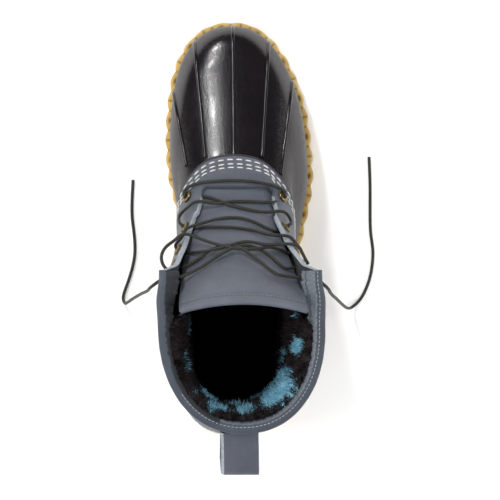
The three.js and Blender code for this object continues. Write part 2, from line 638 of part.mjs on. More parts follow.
function outsoleSolid() {
  const s = sectionAt(1);
  const rim = SOLE_RIM - LINK_DEPTH / 2;
  const edge = { ...s, heel: s.heel + rim, waist: s.waist + rim, ball: s.ball + rim };
  edge.back = LINK_DEPTH / 2;
  edge.front = OUTSOLE_LENGTH - LINK_DEPTH / 2;
  const fine = steps(0, 1, 720).slice(0, -1).map((around) => {
    const forward = lerp(edge.back, edge.front, (1 + Math.cos(2 * Math.PI * around)) / 2);
    const side = around < 0.5 ? 1 : -1;
    return new THREE.Vector2(forward, middleLine(edge, forward) + side * halfWidth(edge, forward));
  });
  const curve = new THREE.SplineCurve([...fine, fine[0]]);
  curve.arcLengthDivisions = 1440;
  const links = 2 * Math.round(curve.getLength() / LINK_PITCH / 2);
  const outline = [];
  for (let i = 0; i < links * LINK_POINTS; i += 1) {
    const u = i / (links * LINK_POINTS);
    const p = curve.getPointAt(u);
    const out = curve.getTangentAt(u);
    const bulge = LINK_DEPTH * (Math.sin((Math.PI * (i % LINK_POINTS)) / LINK_POINTS) - 0.5);
    outline.push([p.x + out.y * bulge, p.y - out.x * bulge]);
  }
  const grooves = [HEEL_GROOVES, FOREPART_GROOVES].flatMap(({ from, count }) =>
    steps(0, count - 1, count - 1).flatMap((i) => {
      const start = from * OUTSOLE_LENGTH + i * LINK_PITCH;
      const end = start + GROOVE_WIDTH;
      const roof = Math.min(soleBottom(start), soleBottom(end)) + GROOVE_DEPTH;
      return [[start, soleBottom(start)], [start, roof], [end, roof], [end, soleBottom(end)]];
    }),
  );
  const inGroove = (f) => grooves.some(([g], i) => i % 4 === 0 && f >= g && f <= g + GROOVE_WIDTH);
  const lengths = steps(0, OUTSOLE_LENGTH, 30);
  const ground = [BACK, ...lengths, HEEL_BREAST, HEEL_BREAST + BREAST_RUN, FRONT]
    .filter((f) => !inGroove(f))
    .map((f) => [f, soleBottom(f)]);
  const under = [...ground, ...grooves].sort((a, b) => a[0] - b[0]);
  const over = [BACK, ...lengths, FRONT].map((f) => [f, soleTop(f)]);
  return planPrism(outline, -BEYOND, 4 * BEYOND).intersect(sidePrism([...under, ...over.reverse()]));
}

function rubberSolid() {
  const shell = formSolid(0).subtract(formSolid(-RUBBER_WALL)).subtract(aboveSeam(LAP));
  const ribs = RIBS.map(ribSolid).reduce((all, rib) => all.add(rib));
  return cutEyelets(shell.add(ribs.subtract(aboveSeam(0, -SEAM_GAP)))).subtract(underSole(CLEARANCE));
}

// Everything below the outsole's top face, raised by a distance.
function underSole(raised) {
  const line = steps(BACK, FRONT, 24).map((f) => [f, soleTop(f) + raised]);
  return sidePrism([...line, [FRONT, -BEYOND], [BACK, -BEYOND]]);
}

function throatCutter() {
  const line = steps(0, THROAT.length - 1, 2 * (THROAT.length - 1)).map((place) => [
    blendRows(THROAT, "along", place) * OUTSOLE_LENGTH,
    INSTEP_HEIGHT + blendRows(THROAT, "leg", place) * LEG_HEIGHT,
  ]);
  const low = line[0][1];
  const flaps = sidePrism([...line, [line.at(-1)[0], TOP], [FRONT, TOP], [FRONT, low]]);
  const middle = THROAT_MIDDLE * BALL_WIDTH;
  const edge = THROAT_FOOT.map((row) => [row.along * OUTSOLE_LENGTH, row.half * BALL_WIDTH]);
  const outline = [
    ...edge.map(([f, half]) => [f, middle + half]),
    ...edge.reverse().map(([f, half]) => [f, middle - half]),
  ];
  return flaps.add(planPrism(outline, INSTEP_HEIGHT - BEYOND, low + BEYOND));
}

function upperSolid() {
  const wall = formSolid(LEATHER_OUT).subtract(formSolid(-LEATHER_IN)).intersect(aboveSeam(0));
  const overRubber = formSolid(CLEARANCE).subtract(aboveSeam(LAP, SEAM_GAP));
  const above = sidePrism([[BACK, SHAFT_HEIGHT], [FRONT, SHAFT_HEIGHT], [FRONT, TOP], [BACK, TOP]]);
  return cutEyelets(wall.subtract(overRubber).subtract(above).subtract(throatCutter()));
}

function placeAtHeight(up) {
  let low = 0;
  let high = SECTIONS.length - 1;
  for (let i = 0; i < 24; i += 1) {
    const middle = (low + high) / 2;
    if (sectionAt(middle).up < up) low = middle;
    else high = middle;
  }
  return (low + high) / 2;
}

// Point and normal of the form's skin at a length forward and a height, on one side.
function skinBeside(forward, up, side, offset) {
  const place = placeAtHeight(up);
  const s = sectionAt(place);
  const share = clamp01((forward - s.back) / (s.front - s.back));
  const half = Math.acos(2 * share - 1) / (2 * Math.PI);
  const around = side > 0 ? half : 1 - half;
  return { point: skin(place, around, offset), normal: skinNormal(place, around) };
}

function insideForm(forward, inward, up) {
  const s = sectionAt(placeAtHeight(up));
  if (forward <= s.back || forward >= s.front) return false;
  return Math.abs(inward - middleLine(s, forward)) < halfWidth(s, forward);
}

// A raised rib: a low strip swept over the skin along an upright plane.
function ribSolid(rib) {
  const from = [rib.fromAlong * OUTSOLE_LENGTH, rib.fromInward * BALL_WIDTH];
  const run = [rib.toAlong * OUTSOLE_LENGTH - from[0], rib.toInward * BALL_WIDTH - from[1]];
  const length = Math.hypot(...run);
  const low = FOREPART_THICKNESS + TOE_SPRING;
  const stations = steps(Math.PI / 2, RIB_END_ANGLE, RIB_STATIONS).map((angle) => {
    const ray = [(run[0] / length) * Math.cos(angle), (run[1] / length) * Math.cos(angle), Math.sin(angle)];
    const on = (d) => [from[0] + d * ray[0], from[1] + d * ray[1], low + d * ray[2]];
    let inner = 0;
    let outer = OUTSOLE_LENGTH / 2;
    for (let i = 0; i < 24; i += 1) {
      const d = (inner + outer) / 2;
      if (insideForm(...on(d))) inner = d;
      else outer = d;
    }
    const [forward, inward, up] = on(inner);
    const side = inward > middleLine(sectionAt(placeAtHeight(up)), forward) ? 1 : -1;
    return { point: at(forward, inward, up), normal: skinBeside(forward, up, side, 0).normal };
  });
  const rings = stations.map(({ point, normal }, i) => {
    const next = stations[Math.min(stations.length - 1, i + 1)].point;
    const before = stations[Math.max(0, i - 1)].point;
    const across = next.clone().sub(before).cross(normal).normalize();
    const corner = (w, h) =>
      point.clone().addScaledVector(across, w * RIB_WIDTH).addScaledVector(normal, h);
    return [
      corner(0.5, -RIB_SINK),
      corner(0.5, 0.3 * RIB_HEIGHT),
      corner(0.22, RIB_HEIGHT),
      corner(-0.22, RIB_HEIGHT),
      corner(-0.5, 0.3 * RIB_HEIGHT),
      corner(-0.5, -RIB_SINK),
    ];
  });
  return toSolid(ringsGeometry(rings));
}

// A point over the tongue's outer face: across runs from -1 to 1.
function tonguePoint(place, across, lift) {
  const row = (spot) => ({
    forward: blendRows(TONGUE, "along", spot) * OUTSOLE_LENGTH,
    up: blendRows(TONGUE, "foot", spot) * INSTEP_HEIGHT + blendRows(TONGUE, "leg", spot) * LEG_HEIGHT,
  });
  const before = row(Math.max(0, place - 0.2));
  const after = row(Math.min(TONGUE.length - 1, place + 0.2));
  const run = Math.hypot(after.forward - before.forward, after.up - before.up);
  const out = [(after.up - before.up) / run, (before.forward - after.forward) / run];
  const middle = row(place);
  const raise = lift - blendRows(TONGUE, "sag", place) * BALL_WIDTH * across * across;
  const inward = blendRows(TONGUE, "shift", place) + across * blendRows(TONGUE, "half", place);
  return at(middle.forward + out[0] * raise, inward * BALL_WIDTH, middle.up + out[1] * raise);
}

function tongueSolid() {
  const places = steps(0, TONGUE.length - 1, TONGUE.length - 1);
  const shares = steps(-1, 1, TONGUE_ACROSS);
  const face = (lift) => places.map((place) => shares.map((across) => tonguePoint(place, across, lift)));
  const sheet = toSolid(sheetGeometry(face(0), face(-TONGUE_THICKNESS)));
  const room = formSolid(-LEATHER_IN - CLEARANCE);
  return sheet.intersect(room).intersect(aboveSeam(LAP, SEAM_GAP));
}

function bindingSolid() {
  const gap = CLEARANCE + BINDING_THICKNESS;
  const ring = formSolid(LEATHER_OUT + gap).subtract(formSolid(-LEATHER_IN - gap));
  const slot = formSolid(LEATHER_OUT + CLEARANCE).subtract(formSolid(-LEATHER_IN - CLEARANCE));
  const slice = (low, high) => sidePrism([[BACK, low], [FRONT, low], [FRONT, high], [BACK, high]]);
  const channel = ring.intersect(slice(SHAFT_HEIGHT - BINDING_DEPTH, SHAFT_HEIGHT + gap));
  const open = slot.intersect(slice(SHAFT_HEIGHT - 2 * BINDING_DEPTH, SHAFT_HEIGHT + CLEARANCE));
  return channel.subtract(open).subtract(throatCutter());
}

function pullLoopSolid() {
  const low = SHAFT_HEIGHT - LOOP_DROP - 2 * LOOP_THICKNESS - LOOP_GAP;
  const middle = SHAFT_HEIGHT - LOOP_DROP - LOOP_THICKNESS - LOOP_GAP / 2;
  const root = skinBeside(0, middle, 1, LEATHER_OUT).point;
  const inside = -root.y + BEYOND;
  const tip = -root.y - LOOP_REACH;
  const bend = (radius) =>
    steps(Math.PI / 2, (3 * Math.PI) / 2, 8).map((angle) => [
      tip + LOOP_THICKNESS + LOOP_GAP / 2 + radius * Math.cos(angle),
      middle + radius * Math.sin(angle),
    ]);
  const outline = (radius) => [[inside, middle + radius], ...bend(radius), [inside, middle - radius]];
  const eye = sidePrism(outline(LOOP_THICKNESS + LOOP_GAP / 2));
  const hollow = sidePrism(outline(LOOP_GAP / 2));
  const patch = formSolid(LEATHER_OUT + CLEARANCE + LOOP_THICKNESS);
  const slice = (from, to) => sidePrism([[BACK, from], [inside, from], [inside, to], [BACK, to]]);
  const upper = patch.intersect(slice(middle + LOOP_GAP / 2, middle + LOOP_GAP / 2 + LOOP_LEG));
  const lower = patch.intersect(slice(low + LOOP_THICKNESS - LOOP_LEG, middle - LOOP_GAP / 2));
  const half = LOOP_WIDTH / 2;
  const plan = [[BACK, -half], [inside, -half], [inside, half], [BACK, half]];
  const width = planPrism(plan, low - 2 * LOOP_LEG, TOP);
  const band = eye.subtract(hollow).add(upper).add(lower).intersect(width);
  return band.subtract(formSolid(LEATHER_OUT + CLEARANCE));
}

// A solid of revolution or a prism whose axis is turned from +Y onto the skin's normal at an eyelet.
function placeOnEyelet(geometry, row, side) {
  const { point, normal } = skinBeside(row.along * OUTSOLE_LENGTH, heightOf(row), side, LEATHER_OUT);
  const turn = new THREE.Quaternion().setFromUnitVectors(new THREE.Vector3(0, 1, 0), normal);
  return geometry.applyQuaternion(turn).translate(point.x, point.y, point.z);
}

function eyeletGeometry() {
  const profile = [
    [EYELET_BORE, -LEATHER_OUT - LEATHER_IN],
    [BARREL_RADIUS, -LEATHER_OUT - LEATHER_IN],
    [BARREL_RADIUS, CLEARANCE],
    [FLANGE_RADIUS, CLEARANCE],
    [BARREL_RADIUS + 0.6, CLEARANCE + FLANGE_HEIGHT],
    [EYELET_BORE, CLEARANCE + 0.6 * FLANGE_HEIGHT],
  ];
  const ring = (angle) =>
    profile.map(([r, h]) => new THREE.Vector3(r * Math.cos(angle), h, r * Math.sin(angle)));
  return ringsGeometry(steps(0, 2 * Math.PI, EYELET_SIDES).slice(0, -1).map(ring), true);
}

// The hole for an eyelet's barrel and the seat pressed by its flange.
function cutEyelets(solid) {
  const depth = 2 * (LEATHER_OUT + RUBBER_WALL);
  const drum = (radius, low, high) =>
    new THREE.CylinderGeometry(radius, radius, high - low, EYELET_SIDES).translate(0, (low + high) / 2, 0);
  let cut = solid;
  for (const side of [1, -1]) {
    for (const row of EYELETS) {
      const hole = drum(BARREL_RADIUS + CLEARANCE, -depth, depth);
      const seat = drum(FLANGE_RADIUS + CLEARANCE, 0, depth);
      cut = cut.subtract(toSolid(placeOnEyelet(hole, row, side)));
      cut = cut.subtract(toSolid(placeOnEyelet(seat, row, side)));
    }
  }
  return cut;
}

// A point over the form seen from above: down onto its skin, then out along the normal.
function skinBelow(forward, inward, offset) {
  let low = 0;
  let high = SHAFT_HEIGHT;
  for (let i = 0; i < 24; i += 1) {
    const up = (low + high) / 2;
    if (insideForm(forward, inward, Math.max(up, heightOf(SECTIONS[0])))) low = up;
    else high = up;
  }
  const side = inward > middleLine(sectionAt(placeAtHeight(low)), forward) ? 1 : -1;
  const { normal } = skinBeside(forward, low, side, 0);
  return at(forward, inward, low).addScaledVector(normal, offset);
}

// Where a row of a lace's table lies.
function lacePoint(row) {
  const rest = CLEARANCE + (0.5 + (row.lift ?? 0)) * LACE_DIAMETER;
  const forward = (row.along ?? 0) * OUTSOLE_LENGTH;
  const inward = (row.inward ?? 0) * BALL_WIDTH;
  if (row.on === "air") return at(forward, inward, row.share * SHAFT_HEIGHT);
  if (row.on === "floor") return at(forward, inward, LACE_DIAMETER / 2 + CLEARANCE);
  if (row.on === "skin") return skinBelow(forward, inward, LEATHER_OUT + rest);
  if (row.on === "flap") {
    return skinBeside(forward, INSTEP_HEIGHT + row.leg * LEG_HEIGHT, row.side, LEATHER_OUT + rest).point;
  }
  if (row.eyelet) {
    const offsets = {
      outside: LEATHER_OUT + CLEARANCE + FLANGE_HEIGHT + rest,
      bore: LEATHER_OUT + CLEARANCE,
      inside: -LEATHER_IN - CLEARANCE - rest,
    };
    const eyelet = EYELETS[row.eyelet - 1];
    const forwardThere = eyelet.along * OUTSOLE_LENGTH;
    return skinBeside(forwardThere, heightOf(eyelet), row.side, offsets[row.on]).point;
  }
  let low = 0;
  let high = TONGUE.length - 1;
  let point;
  for (let i = 0; i < 24; i += 1) {
    const place = (low + high) / 2;
    const across = (row.inward - blendRows(TONGUE, "shift", place)) / blendRows(TONGUE, "half", place);
    point = tonguePoint(place, across, rest);
    if (-point.y > forward) low = place;
    else high = place;
  }
  return point;
}

function laceSolid(rows) {
  const curve = new THREE.CatmullRomCurve3(rows.map(lacePoint), false, "centripetal");
  const radius = LACE_DIAMETER / 2;
  const circle = steps(0, 2 * Math.PI, CORD_SIDES).slice(0, -1);
  const section = circle.map((a) => new THREE.Vector2(radius * Math.cos(a), radius * Math.sin(a)));
  const shape = new THREE.Shape(section);
  const count = Math.ceil(curve.getLength() / (CORD_STEP * LACE_DIAMETER));
  return toSolid(
    new THREE.ExtrudeGeometry(shape, { steps: count, bevelEnabled: false, extrudePath: curve }),
  );
}

function insoleSolid() {
  const under = underSole(CLEARANCE + INSOLE_THICKNESS);
  return formSolid(-RUBBER_WALL - CLEARANCE).intersect(under).subtract(underSole(CLEARANCE));
}

const LEATHER = { color: 0x5e6672, roughness: 0.6, metalness: 0 };
const BRASS = { color: 0x8a7446, roughness: 0.4, metalness: 1 };
const PIECES = [
  { name: "outsole", solid: outsoleSolid(), color: 0xcfa86a, roughness: 0.6, metalness: 0 },
  { name: "rubber_lower", solid: rubberSolid(), color: 0x1d191b, roughness: 0.3, metalness: 0 },
  { name: "upper", solid: upperSolid(), ...LEATHER },
  { name: "tongue", solid: tongueSolid(), ...LEATHER },
  { name: "insole", solid: insoleSolid(), color: 0x1c2226, roughness: 0.9, metalness: 0 },
  { name: "collar_binding", solid: bindingSolid(), ...LEATHER },
  { name: "pull_loop", solid: pullLoopSolid(), ...LEATHER },
];
for (const [sideName, side] of [["inner", 1], ["outer", -1]]) {
  EYELETS.forEach((row, i) => {
    const solid = toSolid(placeOnEyelet(eyeletGeometry(), row, side));
    PIECES.push({ name: `eyelet_${sideName}_${i + 1}`, solid, ...BRASS });
  });
}

const LACE = { color: 0x24231f, roughness: 0.7, metalness: 0 };
const STRANDS = [
  { name: "lace_bar", strands: [BAR] },
  { name: "lace_cross_low", strands: [LOW_OVER, LOW_UNDER] },
  { name: "lace_cross_over", strands: [HIGH_OVER] },
  { name: "lace_cross_under", strands: [HIGH_UNDER] },
  { name: "lace_knot", strands: [TO_OUTER_TOP, TO_INNER_TOP, INNER_LOOP, OUTER_LOOP] },
  { name: "lace_end_inner", strands: [INNER_END] },
  { name: "lace_end_outer", strands: [OUTER_END] },
];
for (const { name, strands } of STRANDS) {
  PIECES.push({ name, solid: strands.map(laceSolid).reduce((all, one) => all.add(one)), ...LACE });
}

// The origin is the middle of the boot's box at the floor, without the free lace.
const FREE_LACE = ["lace_knot", "lace_end_inner", "lace_end_outer"];
const boot = new THREE.Group();
const box = new THREE.Box3();
for (const piece of PIECES) {
  const material = new THREE.MeshStandardMaterial({
    color: piece.color,
    roughness: piece.roughness,
    metalness: piece.metalness,
  });
  const mesh = new THREE.Mesh(toGeometry(piece.solid), material);
  mesh.name = piece.name;
  boot.add(mesh);
  if (!FREE_LACE.includes(piece.name)) box.expandByObject(mesh);
}
const middle = box.getCenter(new THREE.Vector3());
for (const mesh of boot.children) mesh.geometry.translate(-middle.x, -middle.y, -box.min.z);
export default boot;
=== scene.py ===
import math

import bpy
import numpy as np
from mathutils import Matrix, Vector


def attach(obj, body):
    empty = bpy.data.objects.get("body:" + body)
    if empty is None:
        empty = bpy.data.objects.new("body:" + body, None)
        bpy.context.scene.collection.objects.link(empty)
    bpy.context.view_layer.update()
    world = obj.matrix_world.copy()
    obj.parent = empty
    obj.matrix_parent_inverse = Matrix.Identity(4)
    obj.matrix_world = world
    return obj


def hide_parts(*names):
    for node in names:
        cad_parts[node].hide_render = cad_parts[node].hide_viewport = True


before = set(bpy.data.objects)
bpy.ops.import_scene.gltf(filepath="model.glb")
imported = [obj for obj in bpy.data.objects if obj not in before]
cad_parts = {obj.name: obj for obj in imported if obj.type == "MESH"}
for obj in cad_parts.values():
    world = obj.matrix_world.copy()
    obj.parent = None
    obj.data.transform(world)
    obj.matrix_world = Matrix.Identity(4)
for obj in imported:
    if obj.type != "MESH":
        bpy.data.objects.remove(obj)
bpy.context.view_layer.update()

# Sizes in millimetres, as in the part: x to the inner side, y backward from the heel's line, z up.
OUTSOLE_LENGTH = 297
BALL_WIDTH = 106
HEEL_WIDTH = 75
INSTEP_HEIGHT = 78
SHAFT_HEIGHT = 178
COLLAR_WIDTH = 100
LEG_HEIGHT = SHAFT_HEIGHT - INSTEP_HEIGHT
CLEARANCE = 0.3
RUBBER_WALL = 3
LEATHER_OUT = 2.2
LEATHER_IN = 1.2
LAP = 15.5
HEEL_THICKNESS = 21
WAIST_THICKNESS = 12
FOREPART_THICKNESS = 13
TOE_SPRING = 9
SOLE_RIM = 4.4
LINK_PITCH = 14.6
LINK_DEPTH = 1.7
GROOVE_WIDTH = 3.2
GROOVE_DEPTH = 2.4
INSOLE_THICKNESS = 4
RIB_WIDTH = 3
RIB_HEIGHT = 1.3
RIB_END_ANGLE = -0.12
TONGUE_THICKNESS = 3
LOOP_WIDTH = 25
LOOP_THICKNESS = 2
LOOP_REACH = 30
LOOP_GAP = 6.5
LOOP_DROP = 31
LOOP_LEG = 13
FLANGE_HEIGHT = 1.1
LACE_DIAMETER = 2.2
HEEL_ROUNDNESS = 2.2
THROAT_MIDDLE = 0.014
INNER = 1
OUTER = -1

# The heel's line and the foot's middle line in the frame, in millimetres.
ORIGIN = np.array([1.07, 140.99, 0.0])
SEED = 7


def table(columns, *rows):
    """The columns of a table by name."""
    return {name: np.array([row[i] for row in rows], float) for i, name in enumerate(columns.split())}


SECTIONS = table(
    "foot leg front back heel_at heel waist ball_at ball round bend lean",
    (0.1, 0, 0.98, 0.016, 0.127, 0.438, 0.312, 0.66, 0.448, 2.3, 1, 0),
    (0.28, 0, 0.9853, 0.0148, 0.127, 0.448, 0.335, 0.66, 0.4585, 2.3, 1, 0),
    (0.435, 0, 0.984, 0.0142, 0.127, 0.455, 0.349, 0.655, 0.456, 2.3, 0.85, 0.008),
    (0.55, 0, 0.974, 0.014, 0.127, 0.458, 0.355, 0.655, 0.439, 2.15, 0.7, 0.018),
    (0.64, 0, 0.953, 0.0145, 0.127, 0.455, 0.357, 0.65, 0.414, 2.1, 0.55, 0.027),
    (0.7, 0, 0.915, 0.016, 0.127, 0.452, 0.357, 0.635, 0.393, 2.1, 0.5, 0.032),
    (0.748, 0, 0.86, 0.0185, 0.128, 0.449, 0.356, 0.61, 0.378, 2.1, 0.45, 0.034),
    (0.805, 0, 0.797, 0.0215, 0.13, 0.449, 0.355, 0.575, 0.368, 2.1, 0.45, 0.035),
    (0.875, 0, 0.733, 0.025, 0.133, 0.449, 0.354, 0.53, 0.364, 2.15, 0.45, 0.036),
    (0.95, 0, 0.678, 0.029, 0.138, 0.452, 0.354, 0.48, 0.364, 2.25, 0.4, 0.036),
    (1, 0.035, 0.631, 0.0335, 0.145, 0.45, 0.355, 0.435, 0.366, 2.35, 0.35, 0.036),
    (1, 0.12, 0.592, 0.039, 0.155, 0.448, 0.36, 0.4, 0.374, 2.4, 0.3, 0.036),
    (1, 0.225, 0.559, 0.0455, 0.17, 0.454, 0.375, 0.375, 0.389, 2.4, 0.25, 0.034),
    (1, 0.355, 0.532, 0.0515, 0.195, 0.468, 0.4, 0.36, 0.409, 2.4, 0.2, 0.029),
    (1, 0.505, 0.512, 0.0565, 0.222, 0.482, 0.42, 0.355, 0.41, 2.4, 0.1, 0.02),
    (1, 0.67, 0.498, 0.06, 0.248, 0.486, 0.435, 0.36, 0.408, 2.5, 0, 0.007),
    (1, 0.835, 0.491, 0.0625, 0.27, 0.493, 0.465, 0.375, 0.42, 2.6, 0, -0.006),
    (1, 1, 0.49, 0.064, 0.285, 0.503, 0.508, 0.39, 0.492, 2.8, -0.5, -0.02),
    (1, 1.17, 0.49, 0.065, 0.29, 0.535, 0.55, 0.39, 0.58, 2.8, -0.5, -0.02),
)
FOOT_CURVE = table(
    "along inward",
    (0, 0.012),
    (0.2, 0),
    (0.42, -0.024),
    (0.56, -0.014),
    (0.68, 0.008),
    (0.81, 0.029),
    (0.91, 0.054),
    (1, 0.062),
)
SEAM = table(
    "along up turn",
    (-0.05, 0.85, 0),
    (0.1, 0.825, 0),
    (0.26, 0.775, 0),
    (0.38, 0.765, 0),
    (0.47, 0.8, 0),
    (0.53, 0.86, 0.15),
    (0.575, 0.905, 0.35),
    (0.615, 0.942, 0.6),
    (0.645, 0.956, 0.85),
    (0.664, 0.965, 1),
    (0.676, 0.99, 1),
    (0.69, 1.15, 1),
)
THROAT = table(
    "along leg",
    (0.528, 0.225),
    (0.503, 0.33),
    (0.479, 0.44),
    (0.46, 0.57),
    (0.4365, 0.72),
    (0.4185, 0.82),
    (0.411, 0.91),
    (0.405, 1),
    (0.4, 1.12),
)
THROAT_FOOT = table(
    "along half",
    (0.594, 0.226),
    (0.559, 0.226),
    (0.54, 0.243),
    (0.52, 0.256),
    (0.4, 0.256),
)
TONGUE = table(
    "along foot leg shift half sag",
    (0.64, 0.985, 0, 0.03, 0.32, 0.05),
    (0.612, 1.02, 0.03, 0.03, 0.32, 0.055),
    (0.58, 1, 0.118, 0.03, 0.32, 0.065),
    (0.54, 1, 0.232, 0.025, 0.32, 0.08),
    (0.498, 1, 0.395, 0.02, 0.33, 0.09),
    (0.455, 1, 0.59, 0.01, 0.345, 0.09),
    (0.412, 1, 0.775, -0.01, 0.37, 0.085),
    (0.375, 1, 0.93, -0.025, 0.39, 0.075),
    (0.352, 1, 1.025, -0.03, 0.395, 0.068),
    (0.342, 1, 1.08, -0.03, 0.39, 0.066),
)
EYELETS = table(
    "along foot leg",
    (0.569, 1.04, 0),
    (0.496, 1, 0.28),
    (0.446, 1, 0.53),
    (0.413, 1, 0.69),
    (0.389, 1, 0.83),
)
RIBS = (
    (0.67, 0.039, 0.98, 0.049),
    (0.665, 0.226, 0.943, 0.304),
    (0.665, -0.144, 0.953, -0.193),
    (0.645, 0.35, 0.797, 0.431),
    (0.625, -0.267, 0.845, -0.348),
)
BAR = (
    ("inside", 1, INNER, 0),
    ("bore", 1, INNER, 0),
    ("outside", 1, INNER, 0.4),
    ("skin", 0.5825, 0.325, 0.55),
    ("skin", 0.5945, 0.264, 0.35),
    ("skin", 0.5985, 0.113, 0.4),
    ("skin", 0.599, 0.028, 0.4),
    ("skin", 0.5975, -0.057, 0.4),
    ("skin", 0.5905, -0.189, 0.35),
    ("skin", 0.5805, -0.255, 0.55),
    ("outside", 1, OUTER, 0.4),
    ("bore", 1, OUTER, 0),
    ("inside", 1, OUTER, 0),
)
LOW_OVER = (
    ("inside", 2, INNER, 0),
    ("bore", 2, INNER, 0),
    ("outside", 2, INNER, 0.4),
    ("skin", 0.5236, 0.344, 0.7),
    ("skin", 0.5404, 0.297, 0.5),
    ("skin", 0.5488, 0.255, 0.8),
    ("tongue", 0.5549, 0.151, 0.9),
    ("tongue", 0.5599, 0.057, 0.3),
    ("tongue", 0.5599, -0.066, 0.3),
    ("tongue", 0.5582, -0.175, 0.3),
    ("tongue", 0.559, -0.235, 0.1),
    ("inside", 1, OUTER, 0),
)
LOW_UNDER = (
    ("inside", 1, INNER, 0),
    ("tongue", 0.5725, 0.235, 0.1),
    ("tongue", 0.57, 0.193, 0.3),
    ("tongue", 0.5636, 0.146, 0.3),
    ("tongue", 0.5512, 0.056, 0.3),
    ("tongue", 0.5404, -0.066, 0.3),
    ("tongue", 0.5347, -0.16, 1.1),
    ("skin", 0.5253, -0.25, 1.05),
    ("skin", 0.5101, -0.288, 0.6),
    ("outside", 2, OUTER, 0.4),
    ("bore", 2, OUTER, 0),
    ("inside", 2, OUTER, 0),
)
HIGH_OVER = (
    ("inside", 3, INNER, 0),
    ("bore", 3, INNER, 0),
    ("outside", 3, INNER, 0.4),
    ("flap", 0.468, 0.49, INNER, 0.3),
    ("flap", 0.4875, 0.41, INNER, 0.3),
    ("tongue", 0.5084, 0.245, 1.7),
    ("tongue", 0.5212, 0.113, 0.2),
    ("tongue", 0.5219, -0.003, 0.1),
    ("tongue", 0.5138, -0.085, 0.1),
    ("tongue", 0.4966, -0.184, 0.1),
    ("tongue", 0.491, -0.235, 0),
    ("inside", 2, OUTER, 0),
)
HIGH_UNDER = (
    ("inside", 2, INNER, 0),
    ("tongue", 0.501, 0.236, 0),
    ("tongue", 0.501, 0.17, 0),
    ("tongue", 0.5003, 0.054, 0),
    ("tongue", 0.4936, -0.085, 0),
    ("tongue", 0.4825, -0.189, 1.4),
    ("flap", 0.4697, 0.485, OUTER, 0.4),
    ("flap", 0.4562, 0.515, OUTER, 0.3),
    ("outside", 3, OUTER, 0.4),
    ("bore", 3, OUTER, 0),
    ("inside", 3, OUTER, 0),
)
TO_OUTER_TOP = (
    ("inside", 4, INNER, 0),
    ("tongue", 0.4192, 0.297, 0.3),
    ("tongue", 0.431, 0.245, 0.4),
    ("tongue", 0.4465, 0.193, 0.5),
    ("tongue", 0.4562, 0.123, 0.6),
    ("tongue", 0.4606, 0.057, 0.9),
    ("tongue", 0.4545, 0, 1.6),
    ("tongue", 0.4428, -0.057, 1.5),
    ("tongue", 0.4202, -0.142, 1),
    ("tongue", 0.3956, -0.236, 0.8),
    ("inside", 5, OUTER, 0),
)
TO_INNER_TOP = (
    ("inside", 4, OUTER, 0),
    ("tongue", 0.4074, -0.283, 0.3),
    ("tongue", 0.4202, -0.241, 0.4),
    ("tongue", 0.4367, -0.189, 0.5),
    ("tongue", 0.4512, -0.123, 0.6),
    ("tongue", 0.4589, -0.057, 0.9),
    ("tongue", 0.4579, 0.009, 1.6),
    ("tongue", 0.4488, 0.075, 1.3),
    ("tongue", 0.4327, 0.146, 0.8),
    ("tongue", 0.4091, 0.245, 0.6),
    ("inside", 5, INNER, 0),
)
INNER_LOOP = (
    ("inside", 3, OUTER, 0),
    ("tongue", 0.4555, -0.205, 0.9),
    ("tongue", 0.453, -0.13, 1.4),
    ("tongue", 0.4505, -0.05, 1.5),
    ("tongue", 0.4529, 0.028, 1.4),
    ("tongue", 0.4599, 0.123, 1.6),
    ("tongue", 0.469, 0.208, 2),
    ("flap", 0.4731, 0.505, INNER, 0.9),
    ("air", 0.4697, 0.406, 0.758),
    ("air", 0.4562, 0.458, 0.781),
    ("air", 0.436, 0.486, 0.803),
    ("air", 0.4192, 0.478, 0.82),
    ("air", 0.4085, 0.462, 0.825),
    ("flap", 0.4, 0.7, INNER, 0.3),
)
OUTER_LOOP = (
    ("inside", 3, INNER, 0),
    ("tongue", 0.4435, 0.29, 0.5),
    ("tongue", 0.4455, 0.215, 1.0),
    ("tongue", 0.4515, 0.145, 1.3),
    ("tongue", 0.4579, 0.066, 1.5),
    ("tongue", 0.466, 0, 1.6),
    ("tongue", 0.4673, -0.075, 1.7),
    ("tongue", 0.4613, -0.151, 2),
    ("flap", 0.4495, 0.62, OUTER, 0.8),
    ("flap", 0.4343, 0.655, OUTER, 0.6),
    ("outside", 4, OUTER, 0.4),
)
INNER_END = (
    ("bore", 5, INNER, 0),
    ("outside", 5, INNER, 0.4),
    ("air", 0.3704, 0.533, 0.882),
    ("air", 0.3586, 0.571, 0.775),
    ("air", 0.3502, 0.623, 0.59),
    ("air", 0.335, 0.703, 0.337),
    ("air", 0.3232, 0.759, 0.124),
    ("air", 0.3192, 0.788, 0.039),
    ("floor", 0.3283, 0.807),
    ("floor", 0.3451, 0.797),
    ("floor", 0.3633, 0.777),
    ("floor", 0.4024, 0.743),
    ("floor", 0.4343, 0.725),
    ("floor", 0.4734, 0.725),
    ("floor", 0.532, 0.743),
    ("floor", 0.571, 0.743),
    ("floor", 0.6202, 0.736),
)
OUTER_END = (
    ("bore", 5, OUTER, 0),
    ("outside", 5, OUTER, 0.4),
    ("air", 0.3687, -0.533, 0.876),
    ("air", 0.3519, -0.571, 0.758),
    ("air", 0.3367, -0.623, 0.534),
    ("air", 0.3182, -0.684, 0.281),
    ("air", 0.3081, -0.731, 0.09),
    ("air", 0.3081, -0.759, 0.028),
    ("floor", 0.3199, -0.804),
    ("floor", 0.335, -0.836),
    ("floor", 0.3535, -0.861),
    ("floor", 0.3865, -0.892),
    ("floor", 0.4428, -0.909),
    ("floor", 0.4929, -0.892),
    ("floor", 0.5488, -0.889),
    ("floor", 0.6054, -0.889),
    ("floor", 0.6764, -0.882),
)

def rows_of(tab):
    return len(next(iter(tab.values())))


